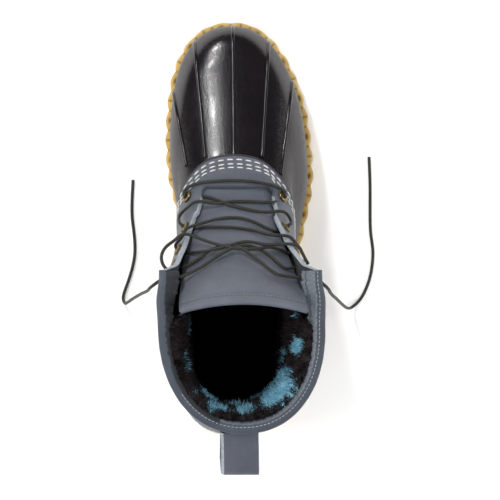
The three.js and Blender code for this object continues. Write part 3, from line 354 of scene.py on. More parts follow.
def blend(tab, key, place):
    """Smooth value through a table's rows at fractional row numbers."""
    values = tab[key]
    last = len(values) - 1
    place = np.asarray(place, float)
    i = np.clip(np.floor(place).astype(int), 0, last - 1)
    t = place - i
    before, a, b, after = (values[np.clip(i + k, 0, last)] for k in (-1, 0, 1, 2))
    slope_a, slope_b = (b - before) / 2, (after - a) / 2
    from_a = (2 * t**3 - 3 * t**2 + 1) * a + (t**3 - 2 * t**2 + t) * slope_a
    return from_a + (3 * t**2 - 2 * t**3) * b + (t**3 - t**2) * slope_b


def along_table(tab, key, forward):
    """Value of a table against its along column, at lengths forward from the heel."""
    share = np.asarray(forward, float) / OUTSOLE_LENGTH
    place = np.interp(share, tab["along"], np.arange(rows_of(tab)))
    return blend(tab, key, place)


def lerp(a, b, t):
    return a + (b - a) * t


def clamp01(t):
    return np.clip(t, 0, 1)


def ease(t):
    return (1 - np.cos(np.pi * clamp01(t))) / 2


def round_end(t, power):
    return (1 - clamp01(t) ** power) ** (1 / power)


def at(forward, inward, up):
    return np.stack(np.broadcast_arrays(inward, -np.asarray(forward, float), up), -1)


def section(place):
    s = {key: blend(SECTIONS, key, place) for key in SECTIONS}
    leg = clamp01(s["leg"])
    width = lerp(BALL_WIDTH, COLLAR_WIDTH, leg)
    s["up"] = s["foot"] * INSTEP_HEIGHT + s["leg"] * LEG_HEIGHT
    for key in ("front", "back", "heel_at", "ball_at"):
        s[key] = s[key] * OUTSOLE_LENGTH
    s["heel"] = s["heel"] * lerp(HEEL_WIDTH, COLLAR_WIDTH, leg)
    s["waist"] = s["waist"] * width
    s["ball"] = s["ball"] * width
    s["lean"] = s["lean"] * BALL_WIDTH
    return s


def half_width(s, forward):
    waist_at = (s["heel_at"] + s["ball_at"]) / 2
    heel = s["heel"] * round_end((s["heel_at"] - forward) / (s["heel_at"] - s["back"]), HEEL_ROUNDNESS)
    toe = s["ball"] * round_end((forward - s["ball_at"]) / (s["front"] - s["ball_at"]), s["round"])
    rear = lerp(s["heel"], s["waist"], ease((forward - s["heel_at"]) / (waist_at - s["heel_at"])))
    fore = lerp(s["waist"], s["ball"], ease((forward - waist_at) / (s["ball_at"] - waist_at)))
    middle = np.where(forward < waist_at, rear, fore)
    return np.where(forward < s["heel_at"], heel, np.where(forward > s["ball_at"], toe, middle))


def middle_line(s, forward):
    return s["bend"] * BALL_WIDTH * along_table(FOOT_CURVE, "inward", forward) + s["lean"]


def skin_point(place, around):
    """Points of the form's skin at section places and shares of the way round it, from the front."""
    around = np.asarray(around, float) % 1
    s = section(place)
    forward = lerp(s["back"], s["front"], (1 + np.cos(2 * np.pi * around)) / 2)
    side = np.where(around < 0.5, 1, -1)
    return at(forward, middle_line(s, forward) + side * half_width(s, forward), s["up"])


def skin_normal(place, around):
    last = rows_of(SECTIONS) - 1
    place = np.asarray(place, float)
    up = skin_point(np.minimum(place + 0.02, last), around) - skin_point(np.maximum(place - 0.02, 0), around)
    on = skin_point(place, around + 0.004) - skin_point(place, around - 0.004)
    normal = np.cross(on, up)
    return normal / np.maximum(np.linalg.norm(normal, axis=-1, keepdims=True), 1e-9)


def skin(place, around, offset=0.0):
    offset = np.asarray(offset, float)
    return skin_point(place, around) + skin_normal(place, around) * offset[..., None]


PLACES = np.linspace(0, rows_of(SECTIONS) - 1, 2000)
HEIGHTS = section(PLACES)["up"]


def place_at_height(up):
    return np.interp(up, HEIGHTS, PLACES)


def beside(forward, up, side):
    """Place and share of the way round of the skin's point at a length forward and a height."""
    place = place_at_height(up)
    s = section(place)
    share = clamp01((forward - s["back"]) / (s["front"] - s["back"]))
    half = np.arccos(2 * share - 1) / (2 * np.pi)
    return place, np.where(np.asarray(side) > 0, half, 1 - half)


def inside_form(forward, inward, up):
    s = section(place_at_height(up))
    within = (forward > s["back"]) & (forward < s["front"])
    return within & (np.abs(inward - middle_line(s, forward)) < half_width(s, forward))


def bisect(is_low, low, high, rounds=30):
    """The borders between where is_low holds and where it doesn't."""
    low, high = np.array(low, float), np.array(high, float)
    for _ in range(rounds):
        middle = (low + high) / 2
        go_up = is_low(middle)
        low, high = np.where(go_up, middle, low), np.where(go_up, high, middle)
    return (low + high) / 2


def below(forward, inward):
    """Place and share of the way round of the skin's point straight under a plan point."""
    forward, inward = np.broadcast_arrays(np.asarray(forward, float), np.asarray(inward, float))
    floor = HEIGHTS[0]
    up = bisect(
        lambda z: inside_form(forward, inward, np.maximum(z, floor)),
        np.zeros(forward.shape),
        np.full(forward.shape, float(SHAFT_HEIGHT)),
    )
    side = np.where(inward > middle_line(section(place_at_height(up)), forward), 1, -1)
    return beside(forward, up, side)


# Outsole
HEEL_BREAST = 0.27 * OUTSOLE_LENGTH
ARCH_END = 0.43 * OUTSOLE_LENGTH
SPRING_FROM = 0.72 * OUTSOLE_LENGTH
DROP_FROM = 0.22 * OUTSOLE_LENGTH
DROP_RUN = 0.32 * OUTSOLE_LENGTH
BREAST_RUN = 3


def toe_lift(forward):
    return TOE_SPRING * clamp01((forward - SPRING_FROM) / (OUTSOLE_LENGTH - SPRING_FROM)) ** 2


def sole_top(forward):
    level = lerp(HEEL_THICKNESS, FOREPART_THICKNESS, ease((forward - DROP_FROM) / DROP_RUN))
    return level + toe_lift(forward)


ARCH_RISE = sole_top(HEEL_BREAST) - WAIST_THICKNESS


def sole_bottom(forward):
    run = forward - HEEL_BREAST
    breast = ARCH_RISE * clamp01(run / BREAST_RUN)
    arch = ARCH_RISE * (1 - ease((run - BREAST_RUN) / (ARCH_END - HEEL_BREAST - BREAST_RUN)))
    raised = np.where(run < BREAST_RUN, breast, arch)
    return np.where((run < 0) | (forward > ARCH_END), toe_lift(forward), raised)


# The seam's line seen from the side, as heights against lengths.
SEAM_PLACES = np.linspace(0, rows_of(SEAM) - 1, 300)
SEAM_FORWARD = blend(SEAM, "along", SEAM_PLACES) * OUTSOLE_LENGTH
SEAM_UP = blend(SEAM, "up", SEAM_PLACES) * INSTEP_HEIGHT


def seam_place(around):
    """Section places where the skin meets the seam's line."""
    around = np.asarray(around, float)

    def under(place):
        p = skin_point(place, around)
        return p[..., 2] < np.interp(-p[..., 1], SEAM_FORWARD, SEAM_UP)

    return bisect(under, np.zeros(around.shape), np.full(around.shape, 13.0))


def sole_place(around, raised):
    """Section places where the skin meets the outsole's top face, raised by a distance."""
    around = np.asarray(around, float)

    def under(place):
        p = skin_point(place, around)
        return p[..., 2] < sole_top(-p[..., 1]) + raised

    return bisect(under, np.zeros(around.shape), np.full(around.shape, 8.0))


# Meshes


def to_frame(points):
    return (np.asarray(points, float) + ORIGIN) / 1000


def make_object(name, points, faces, slots=None, uv=None):
    """A smooth mesh object from points in millimetres. slots gives each face's material number."""
    mesh = bpy.data.meshes.new(name)
    mesh.from_pydata(to_frame(points).tolist(), [], faces)
    mesh.polygons.foreach_set("use_smooth", np.ones(len(mesh.polygons), bool))
    if slots is not None:
        mesh.polygons.foreach_set("material_index", np.asarray(slots, np.int32))
    if uv is not None:
        layer = mesh.uv_layers.new(name="lay")
        layer.data.foreach_set("uv", np.asarray(uv, np.float32).ravel())
    mesh.update()
    piece = bpy.data.objects.new(name, mesh)
    bpy.context.scene.collection.objects.link(piece)
    return piece


def set_values(piece, name, values):
    """A value at each vertex, for the material to read."""
    attribute = piece.data.attributes.new(name, "FLOAT", "POINT")
    attribute.data.foreach_set("value", np.asarray(values, np.float32).ravel())


def grid_faces(rows, columns, wrap_rows=False, wrap_columns=False):
    r = np.arange(rows if wrap_rows else rows - 1)
    c = np.arange(columns if wrap_columns else columns - 1)
    r, c = np.meshgrid(r, c, indexing="ij")
    r2, c2 = (r + 1) % rows, (c + 1) % columns
    return np.stack([r * columns + c, r * columns + c2, r2 * columns + c2, r2 * columns + c], -1), r, c


def make_grid(name, grid, wrap_rows=False, wrap_columns=False, row_slots=None, uv=None, flip=False):
    """A mesh over rows and columns of points. uv gives u for each column and v for each row, with
    one more of each where the grid closes on itself."""
    rows, columns = grid.shape[:2]
    faces, r, c = grid_faces(rows, columns, wrap_rows, wrap_columns)
    slots = None if row_slots is None else np.asarray(row_slots)[r].ravel()
    loops = None
    if uv is not None:
        u, v = (np.asarray(a, float) for a in uv)
        corners = [(u[c], v[r]), (u[c + 1], v[r]), (u[c + 1], v[r + 1]), (u[c], v[r + 1])]
        loops = np.stack([np.stack(pair, -1) for pair in corners], 2)
    if flip:
        faces = faces[..., ::-1]
        loops = None if loops is None else loops[..., ::-1, :]
    return make_object(name, grid.reshape(-1, 3), faces.reshape(-1, 4).tolist(), slots, loops)


def lengths_along(points):
    """Distances along a line of points, from 0."""
    gaps = np.linalg.norm(np.diff(points, axis=0), axis=-1)
    return np.concatenate([[0], np.cumsum(gaps)])


def resample(points, count):
    run = lengths_along(points)
    where = np.linspace(0, run[-1], count)
    return np.stack([np.interp(where, run, points[:, k]) for k in range(points.shape[1])], -1)


def catmull(points, per_span=24):
    """A centripetal curve through points."""
    p = np.asarray(points, float)
    p = np.vstack([2 * p[0] - p[1], p, 2 * p[-1] - p[-2]])
    out = []
    for i in range(1, len(p) - 2):
        quad = p[i - 1 : i + 3]
        knots = np.concatenate([[0], np.cumsum(np.linalg.norm(np.diff(quad, axis=0), axis=-1) ** 0.5)])
        t = np.linspace(knots[1], knots[2], per_span, endpoint=False)[:, None]
        a = [
            (knots[k + 1] - t) / (knots[k + 1] - knots[k]) * quad[k]
            + (t - knots[k]) / (knots[k + 1] - knots[k]) * quad[k + 1]
            for k in range(3)
        ]
        b = [
            (knots[k + 2] - t) / (knots[k + 2] - knots[k]) * a[k]
            + (t - knots[k]) / (knots[k + 2] - knots[k]) * a[k + 1]
            for k in range(2)
        ]
        span = knots[2] - knots[1]
        out.append((knots[2] - t) / span * b[0] + (t - knots[1]) / span * b[1])
    return np.vstack([*out, p[-2:-1]])


def unit(v):
    return v / np.maximum(np.linalg.norm(v, axis=-1, keepdims=True), 1e-12)


def carried_frames(line):
    """Tangents and two cross directions that turn as little as they can along a line."""
    tangents = unit(np.gradient(line, axis=0))
    start = np.array([0.0, 0.0, 1.0]) if abs(tangents[0][2]) < 0.9 else np.array([1.0, 0.0, 0.0])
    across = [unit(np.cross(tangents[0], start))]
    for t in tangents[1:]:
        across.append(unit(across[-1] - t * np.dot(across[-1], t)))
    across = np.array(across)
    return tangents, across, np.cross(tangents, across)


def tube_points(line, radius, sides):
    _, side, up = carried_frames(line)
    angle = np.linspace(0, 2 * np.pi, sides, endpoint=False)
    ring = side[:, None] * np.cos(angle)[None, :, None] + up[:, None] * np.sin(angle)[None, :, None]
    return line[:, None] + radius * ring


def joined(name, parts):
    """One mesh object from (points, faces, uv) parts. uv may be None for all of them."""
    points, faces, uv, count = [], [], [], 0
    for part_points, part_faces, part_uv in parts:
        points.append(part_points.reshape(-1, 3))
        faces.extend([[i + count for i in face] for face in part_faces])
        if part_uv is not None:
            uv.append(np.asarray(part_uv).reshape(-1, 2))
        count += len(points[-1])
    return make_object(name, np.vstack(points), faces, uv=np.vstack(uv) if uv else None)


# Materials


class Shader:
    """A material with its principled shader, and short ways to add nodes to it."""

    def __init__(self, name, color=None, roughness=0.5, metallic=0.0, **sockets):
        self.material = bpy.data.materials.new(name)
        self.material.use_nodes = True
        self.nodes = self.material.node_tree.nodes
        self.links = self.material.node_tree.links
        self.shader = self.nodes["Principled BSDF"]
        if color is not None:
            self.shader.inputs["Base Color"].default_value = (*color, 1)
        self.shader.inputs["Roughness"].default_value = roughness
        self.shader.inputs["Metallic"].default_value = metallic
        for socket, value in sockets.items():
            self.shader.inputs[socket.replace("_", " ")].default_value = value
        self.place = self.nodes.new("ShaderNodeTexCoord").outputs["Object"]

    def put(self, socket, value):
        if isinstance(value, bpy.types.NodeSocket):
            self.links.new(value, socket)
        elif value is not None:
            socket.default_value = value

    def value(self, name):
        node = self.nodes.new("ShaderNodeAttribute")
        node.attribute_name = name
        return node.outputs["Fac"]

    def vector(self, name):
        node = self.nodes.new("ShaderNodeAttribute")
        node.attribute_name = name
        return node.outputs["Vector"]

    def noise(self, scale, detail=3.0, roughness=0.55, vector=None, distortion=0.0):
        node = self.nodes.new("ShaderNodeTexNoise")
        self.links.new(vector or self.place, node.inputs["Vector"])
        node.inputs["Scale"].default_value = scale
        node.inputs["Detail"].default_value = detail
        node.inputs["Roughness"].default_value = roughness
        node.inputs["Distortion"].default_value = distortion
        return node.outputs["Fac"]

    def cells(self, scale, feature="F1", vector=None, randomness=1.0):
        node = self.nodes.new("ShaderNodeTexVoronoi")
        node.feature = feature
        self.links.new(vector or self.place, node.inputs["Vector"])
        node.inputs["Scale"].default_value = scale
        node.inputs["Randomness"].default_value = randomness
        return node.outputs["Distance"]

    def ramp(self, value, *stops, smooth=False):
        node = self.nodes.new("ShaderNodeValToRGB")
        elements = node.color_ramp.elements
        node.color_ramp.interpolation = "EASE" if smooth else "LINEAR"
        while len(elements) < len(stops):
            elements.new(0.5)
        for element, (position, color) in zip(elements, stops):
            element.position = position
            element.color = (*color, 1) if hasattr(color, "__len__") else (color, color, color, 1)
        self.links.new(value, node.inputs["Fac"])
        return node.outputs["Color"]

    def math(self, kind, *values):
        node = self.nodes.new("ShaderNodeMath")
        node.operation = kind
        for socket, value in zip(node.inputs, values):
            self.put(socket, value)
        return node.outputs["Value"]

    def mix(self, share, a, b, kind="MIX"):
        node = self.nodes.new("ShaderNodeMix")
        node.data_type = "RGBA"
        node.blend_type = kind
        sockets = [s for s in node.inputs if s.enabled]
        self.put(sockets[0], share)
        for socket, color in zip(sockets[1:], (a, b)):
            self.put(socket, (*color, 1) if hasattr(color, "__len__") else color)
        return next(s for s in node.outputs if s.enabled)

    def bump(self, height, distance, strength=1.0, before=None):
        node = self.nodes.new("ShaderNodeBump")
        node.inputs["Strength"].default_value = strength
        node.inputs["Distance"].default_value = distance
        self.links.new(height, node.inputs["Height"])
        if before is not None:
            self.links.new(before, node.inputs["Normal"])
        return node.outputs["Normal"]

    def finish(self, color=None, roughness=None, normal=None):
        for name, value in (("Base Color", color), ("Roughness", roughness), ("Normal", normal)):
            if value is not None:
                self.links.new(value, self.shader.inputs[name])
        return self.material


def leather(name, light, dark, shine=0.5):
    """Full-grain leather: fine pebbled grain, soft mottling and a satin finish."""
    m = Shader(name, roughness=shine, Specular_IOR_Level=0.45, Sheen_Weight=0.06)
    mottle = m.noise(45, 4, 0.6)
    grain = m.cells(1150, "DISTANCE_TO_EDGE")
    fine = m.noise(2600, 2)
    cloud = m.ramp(mottle, (0.3, dark), (0.72, light))
    creased = m.ramp(grain, (0.0, 0.72), (0.16, 1.0))
    color = m.mix(0.55, cloud, creased, "MULTIPLY")
    rough = m.ramp(m.noise(160, 3), (0.3, shine - 0.07), (0.7, shine + 0.1))
    pebbles = m.ramp(grain, (0.0, 0.0), (0.22, 1.0), smooth=True)
    bumps = m.bump(pebbles, 0.00022, 0.5)
    bumps = m.bump(fine, 0.00012, 0.45, bumps)
    bumps = m.bump(m.noise(90, 3), 0.0012, 0.25, bumps)
    return m.finish(color, rough, bumps)


def cut_leather(name, light, dark):
    """The raw edge of thick leather: pale, fibrous and dull."""
    m = Shader(name, roughness=0.9, Specular_IOR_Level=0.2)
    fibres = m.noise(900, 5, 0.7, distortion=0.6)
    color = m.ramp(fibres, (0.3, dark), (0.62, light))
    return m.finish(color, None, m.bump(fibres, 0.0005, 0.7))


def shiny_rubber(name, peel_depth):
    """Moulded rubber, near black, with a faint orange peel. Its steep sides get a rougher finish and a
    lighter colour, which is painted reflection.
    """
    m = Shader(name, roughness=0.22, Specular_IOR_Level=0.4, Coat_Weight=0.1, Coat_Roughness=0.1)
    cloud = m.noise(28, 4, 0.6)
    color = m.ramp(cloud, (0.3, (0.0045, 0.0035, 0.0045)), (0.75, (0.0085, 0.0065, 0.008)))
    peel = m.noise(800, 2, 0.5)
    speck = m.cells(900)
    matt_and_painted_sheen = m.value("matt_and_painted_sheen")
    # painted reflection: steep sides are coloured lighter to stand in for the room's sheen on them
    color = m.mix(matt_and_painted_sheen, color, (0.023, 0.018, 0.0185))
    rough = m.ramp(m.noise(300, 4, 0.65), (0.35, 0.17), (0.7, 0.27))
    rough = m.math("MULTIPLY_ADD", matt_and_painted_sheen, 0.27, rough)
    bumps = m.bump(peel, peel_depth, 0.32)
    bumps = m.bump(speck, 0.00012, 0.22, bumps)
    return m.finish(color, rough, bumps)


def gum_rubber():
    """Tan crepe-like rubber, with painted shade darkening its hollows."""
    m = Shader("sole_rubber", roughness=0.6, Specular_IOR_Level=0.35)
    cloud = m.noise(60, 4, 0.6)
    base = m.ramp(cloud, (0.3, (0.48, 0.30, 0.08)), (0.72, (0.67, 0.465, 0.165)))
    flecks = m.ramp(m.noise(700, 3, 0.7), (0.42, 0.78), (0.6, 1.0))
    color = m.mix(0.5, base, flecks, "MULTIPLY")
    # painted shade: the hollow value darkens the tread's splits, pits and belt, and the top face under the
    # rubber
    color = m.mix(m.value("hollow"), color, (0.085, 0.052, 0.02))
    bumps = m.bump(m.noise(800, 4, 0.6), 0.0003, 0.4)
    return m.finish(color, None, bumps)


def thread(name, light, dark):
    m = Shader(name, roughness=0.7, Sheen_Weight=0.2)
    strands = m.noise(2200, 3, 0.6, distortion=1.0)
    color = m.ramp(strands, (0.3, dark), (0.65, light))
    return m.finish(color, None, m.bump(strands, 0.0002, 0.6))


def braided_lace():
    """Thin waxed round braid, with painted highlights on its strands and painted shade between them. The
    lace's map runs in braid lengths along it and once round it.
    """
    m = Shader("lace_cord", roughness=0.55, Specular_IOR_Level=0.3)
    uv = m.nodes.new("ShaderNodeUVMap")
    uv.uv_map = "lay"
    split = m.nodes.new("ShaderNodeSeparateXYZ")
    m.links.new(uv.outputs["UV"], split.inputs[0])
    turns = m.math("MULTIPLY", split.outputs["Y"], 2 * math.pi * 4)
    run = m.math("MULTIPLY", split.outputs["X"], 2 * math.pi)
    one = m.math("SINE", m.math("ADD", run, turns))
    two = m.math("SINE", m.math("SUBTRACT", run, turns))
    weave_and_painted_light = m.math("MAXIMUM", one, two)
    height = m.math("MULTIPLY_ADD", weave_and_painted_light, 0.5)
    # painted light: braid crests are coloured light as highlights and the valleys near black as shade
    color = m.ramp(weave_and_painted_light, (0.45, (0.004, 0.004, 0.004)), (0.95, (0.062, 0.063, 0.052)))
    color = m.mix(0.6, color, m.ramp(m.noise(400, 3), (0.35, 0.55), (0.65, 1.0)), "MULTIPLY")
    return m.finish(color, None, m.bump(height, 0.00035, 0.8))


def fleece(name):
    """Curly pile in near-black brown with mottled blue patches, painted near black low in the boot as shade.
    root is where each lock grows.
    """
    m = Shader(name, roughness=0.95, Specular_IOR_Level=0.06)
    root = m.vector("root")
    flecks = m.noise(240, 3, 0.6, vector=root)
    dark = m.ramp(flecks, (0.35, (0.003, 0.003, 0.004)), (0.68, (0.044, 0.035, 0.036)))
    blue = m.ramp(flecks, (0.3, (0.05, 0.16, 0.25)), (0.5, (0.19, 0.46, 0.62)), (0.75, (0.40, 0.70, 0.80)))
    share = m.ramp(m.value("blue"), (0.36, 0.0), (0.6, 1.0), smooth=True)
    color = m.mix(share, dark, blue)
    # painted shade: the pile fades to near black low in the boot, where little light reaches
    wear_and_painted_shade = m.ramp(m.value("height"), (0.56, 0.0), (0.8, 1.0))
    color = m.mix(wear_and_painted_shade, (0.0012, 0.0012, 0.0015), color)
    return m.finish(color, None, m.bump(m.noise(900, 3), 0.0008, 0.7))


def brass():
    m = Shader("eyelet_brass", metallic=1.0, roughness=0.35)
    wear_and_painted_shade = m.noise(500, 4, 0.7)
    color = m.ramp(wear_and_painted_shade, (0.35, (0.08, 0.06, 0.032)), (0.65, (0.32, 0.245, 0.12)))
    return m.finish(color, m.ramp(wear_and_painted_shade, (0.3, 0.5), (0.7, 0.28)), m.bump(wear_and_painted_shade, 0.0001, 0.4))


SLATE = leather("shaft_leather", (0.098, 0.110, 0.139), (0.066, 0.075, 0.097))
SLATE_TONGUE = leather("tongue_leather", (0.113, 0.125, 0.158), (0.078, 0.088, 0.113))
# painted shade: a near-black copy of the slate leather, darker than the facing's own leather, for the
# collar's inside facing and the shaft's inner face
SLATE_INSIDE_PAINTED_SHADE = leather("facing_leather_painted_shade", (0.020, 0.023, 0.031), (0.011, 0.013, 0.018), 0.62)
# a darker copy of the slate leather for the collar binding: partly the binding's own tone, partly painted
# shade
SLATE_BINDING_WITH_PAINTED_SHADE = leather("binding_leather", (0.056, 0.067, 0.088), (0.037, 0.045, 0.061), 0.55)
SLATE_LOOP = leather("loop_leather", (0.096, 0.105, 0.133), (0.069, 0.076, 0.099), 0.5)
EDGE_PALE = cut_leather("cut_edge", (0.40, 0.44, 0.48), (0.17, 0.19, 0.22))
EDGE_ROUGH = cut_leather("rough_edge", (0.17, 0.19, 0.215), (0.055, 0.062, 0.072))
EDGE_DARK = leather("painted_edge", (0.02, 0.021, 0.025), (0.010, 0.010, 0.012), 0.4)
RUBBER = shiny_rubber("lower_rubber", 0.0004)
RIB_RUBBER = shiny_rubber("rib_rubber", 0.00005)
GUM = gum_rubber()
WHITE_THREAD = thread("white_thread", (0.74, 0.73, 0.70), (0.42, 0.42, 0.41))
SLATE_THREAD = thread("slate_thread", (0.30, 0.32, 0.36), (0.15, 0.165, 0.19))
LACE = braided_lace()
FLEECE = fleece("fleece")
BRASS = brass()


def dress(piece, slot_name, *materials, node=None):
    """Materials and body of a piece, and the solid that it stands for. slot_name is not used."""
    for material in materials:
        piece.data.materials.append(material)
    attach(piece, "root")
    if node:
        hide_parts(node)
    return piece


def change_slot(piece, old, new, test):
    """Give another material to the faces of one material whose centres pass a test."""
    polygons = piece.data.polygons
    centres = np.empty(3 * len(polygons))
    slots = np.empty(len(polygons), np.int32)
    polygons.foreach_get("center", centres)
    polygons.foreach_get("material_index", slots)
    x, y, z = 1000 * centres.reshape(-1, 3).T
    slots[(slots == old) & test(ORIGIN[1] - y, x - ORIGIN[0], z)] = new
    polygons.foreach_set("material_index", slots)


# Camera, straight above the boot with the toe at the top
CAMERA_HEIGHT = 1.5
CAMERA_OVER = (-0.00593, 0.00769)
FOCAL_SHARE = 4.125  # focal length over the picture's width


def add_camera():
    data = bpy.data.cameras.new("camera")
    data.sensor_width = 36
    data.lens = FOCAL_SHARE * data.sensor_width
    camera = bpy.data.objects.new("camera", data)
    camera.location = (*CAMERA_OVER, CAMERA_HEIGHT)
    camera.rotation_euler = (0, 0, math.pi)
    bpy.context.scene.collection.objects.link(camera)
    bpy.context.scene.camera = camera


add_camera()


# Lace


def tongue_point(place, across, lift):
    """Points over the tongue's outer face. across runs from -1 to 1."""
    place = np.asarray(place, float)
    across = np.asarray(across, float)

    def middle(spot):
        up = blend(TONGUE, "foot", spot) * INSTEP_HEIGHT + blend(TONGUE, "leg", spot) * LEG_HEIGHT
        return blend(TONGUE, "along", spot) * OUTSOLE_LENGTH, up

    before = middle(np.maximum(place - 0.2, 0))
    after = middle(np.minimum(place + 0.2, rows_of(TONGUE) - 1))
    run = np.hypot(after[0] - before[0], after[1] - before[1])
    raise_by = lift - blend(TONGUE, "sag", place) * BALL_WIDTH * across**2
    forward, up = middle(place)
    inward = (blend(TONGUE, "shift", place) + across * blend(TONGUE, "half", place)) * BALL_WIDTH
    forward = forward + (after[1] - before[1]) / run * raise_by
    return at(forward, inward, up + (before[0] - after[0]) / run * raise_by)


def eyelet_spot(number, side):
    row = {key: EYELETS[key][number - 1] for key in EYELETS}
    return beside(row["along"] * OUTSOLE_LENGTH, row["foot"] * INSTEP_HEIGHT + row["leg"] * LEG_HEIGHT, side)


def lace_point(on, *row):
    """Where a row of a lace's table lies."""
    lift = row[-1]
    rest = CLEARANCE + (0.5 + lift) * LACE_DIAMETER
    if on in ("outside", "bore", "inside"):
        number, side, _ = row
        offset = {
            "outside": LEATHER_OUT + CLEARANCE + FLANGE_HEIGHT + rest,
            "bore": LEATHER_OUT + CLEARANCE,
            "inside": -LEATHER_IN - CLEARANCE - rest,
        }[on]
        return skin(*eyelet_spot(number, side), offset)
    along, second = row[0], row[1]
    forward = along * OUTSOLE_LENGTH
    if on == "air":
        return at(forward, second * BALL_WIDTH, row[2] * SHAFT_HEIGHT)
    if on == "floor":
        return at(forward, second * BALL_WIDTH, LACE_DIAMETER / 2 + CLEARANCE)
    if on == "flap":
        return skin(*beside(forward, INSTEP_HEIGHT + second * LEG_HEIGHT, row[2]), LEATHER_OUT + rest)
    if on == "skin":
        return skin(*below(forward, second * BALL_WIDTH), LEATHER_OUT + rest)

    def across(place):
        return (second - blend(TONGUE, "shift", place)) / blend(TONGUE, "half", place)

    place = bisect(
        lambda p: -tongue_point(p, across(p), rest)[..., 1] > forward, 0.0, rows_of(TONGUE) - 1.0
    )
    return tongue_point(place, across(place), rest)


LACE_STEP = 0.8
LACE_EASING = 20
LACE_SIDES = 12
BRAID_LENGTH = 2.4


def lace_line(rows):
    """A lace's middle line through the rows of its table, with its bends eased."""
    line = catmull([lace_point(*row) for row in rows])
    line = resample(line, int(lengths_along(line)[-1] / LACE_STEP))
    for _ in range(LACE_EASING):
        line[1:-1] = (line[:-2] + 2 * line[1:-1] + line[2:]) / 4
    return line


def lace_part(line, start=0.0):
    """Points, faces and map of a length of lace, with its two ends closed."""
    rings = tube_points(line, LACE_DIAMETER / 2, LACE_SIDES)
    faces, r, c = grid_faces(len(line), LACE_SIDES, wrap_columns=True)
    u = (start + lengths_along(line)) / BRAID_LENGTH
    v = np.arange(LACE_SIDES + 1) / LACE_SIDES
    corners = [(u[r], v[c]), (u[r], v[c + 1]), (u[r + 1], v[c + 1]), (u[r + 1], v[c])]
    uv = np.stack([np.stack(pair, -1) for pair in corners], 2).reshape(-1, 2)
    faces = faces.reshape(-1, 4).tolist()
    last = (len(line) - 1) * LACE_SIDES
    ends = [list(range(LACE_SIDES))[::-1], [last + i for i in range(LACE_SIDES)]]
    uv = np.vstack([uv, np.tile([u[0], 0], (LACE_SIDES, 1)), np.tile([u[-1], 0], (LACE_SIDES, 1))])
    return rings, faces + ends, uv


def add_lace(name, node, *strands):
    piece = joined(name, [lace_part(line) for line in strands])
    return dress(piece, "lace_cord", LACE, node=node)


def add_free_lace(name, node, line):
    piece = add_lace(name, node, line)
    return piece


add_free_lace("lace_end_inner_cord", "lace_end_inner", lace_line(INNER_END))
add_free_lace("lace_end_outer_cord", "lace_end_outer", lace_line(OUTER_END))
KNOT_STRANDS = (
    ("to_outer_top", TO_OUTER_TOP),
    ("to_inner_top", TO_INNER_TOP),
    ("inner_loop", INNER_LOOP),
    ("outer_loop", OUTER_LOOP),
)
for strand, rows in KNOT_STRANDS:
    add_free_lace("lace_" + strand, "lace_knot", lace_line(rows))
add_lace("lace_bar_cord", "lace_bar", lace_line(BAR))
add_lace("lace_low_cord", "lace_cross_low", lace_line(LOW_OVER), lace_line(LOW_UNDER))
add_lace("lace_over_cord", "lace_cross_over", lace_line(HIGH_OVER))
add_lace("lace_under_cord", "lace_cross_under", lace_line(HIGH_UNDER))


# Outsole
LINK_POINTS = 16
RIM_ROWS = (
    # inset from the edge, drop from the top face
    (12.0, 0.0),
    (6.0, 0.0),
    (5.0, 0.0),
    (4.2, 0.0),
    (3.5, 0.0),
    (2.8, 0.0),
    (2.1, 0.0),
    (1.4, 0.05),
    (0.8, 0.2),
    (0.3, 0.6),
    (0.0, 1.3),
)
SIDE_ROWS = 12
FOOT_ROWS = ((0.0, 1.2), (0.3, 0.5), (1.0, 0.0), (4.0, 0.0), (12.0, 0.0))


def sole_outline():
    """Plan points round the outsole, their outward directions, and where each lies in its link."""
    s = section(1.0)
    rim = SOLE_RIM - LINK_DEPTH / 2
    for key in ("heel", "waist", "ball"):
        s[key] = s[key] + rim
    s["back"], s["front"] = LINK_DEPTH / 2, OUTSOLE_LENGTH - LINK_DEPTH / 2
    around = np.linspace(0, 1, 1441)
    forward = lerp(s["back"], s["front"], (1 + np.cos(2 * np.pi * around)) / 2)
    side = np.where(around < 0.5, 1, -1)
    line = np.stack([forward, middle_line(s, forward) + side * half_width(s, forward)], -1)
    line[-1] = line[0]
    links = 2 * round(lengths_along(line)[-1] / LINK_PITCH / 2)
    count = links * LINK_POINTS
    plan = resample(line, count + 1)[:-1]
    tangent = unit(np.roll(plan, -1, 0) - np.roll(plan, 1, 0))
    outward = np.stack([tangent[:, 1], -tangent[:, 0]], -1)
    phase = (np.arange(count) % LINK_POINTS) / LINK_POINTS
    odd = (np.arange(count) // LINK_POINTS) % 2
    return plan, outward, phase, odd


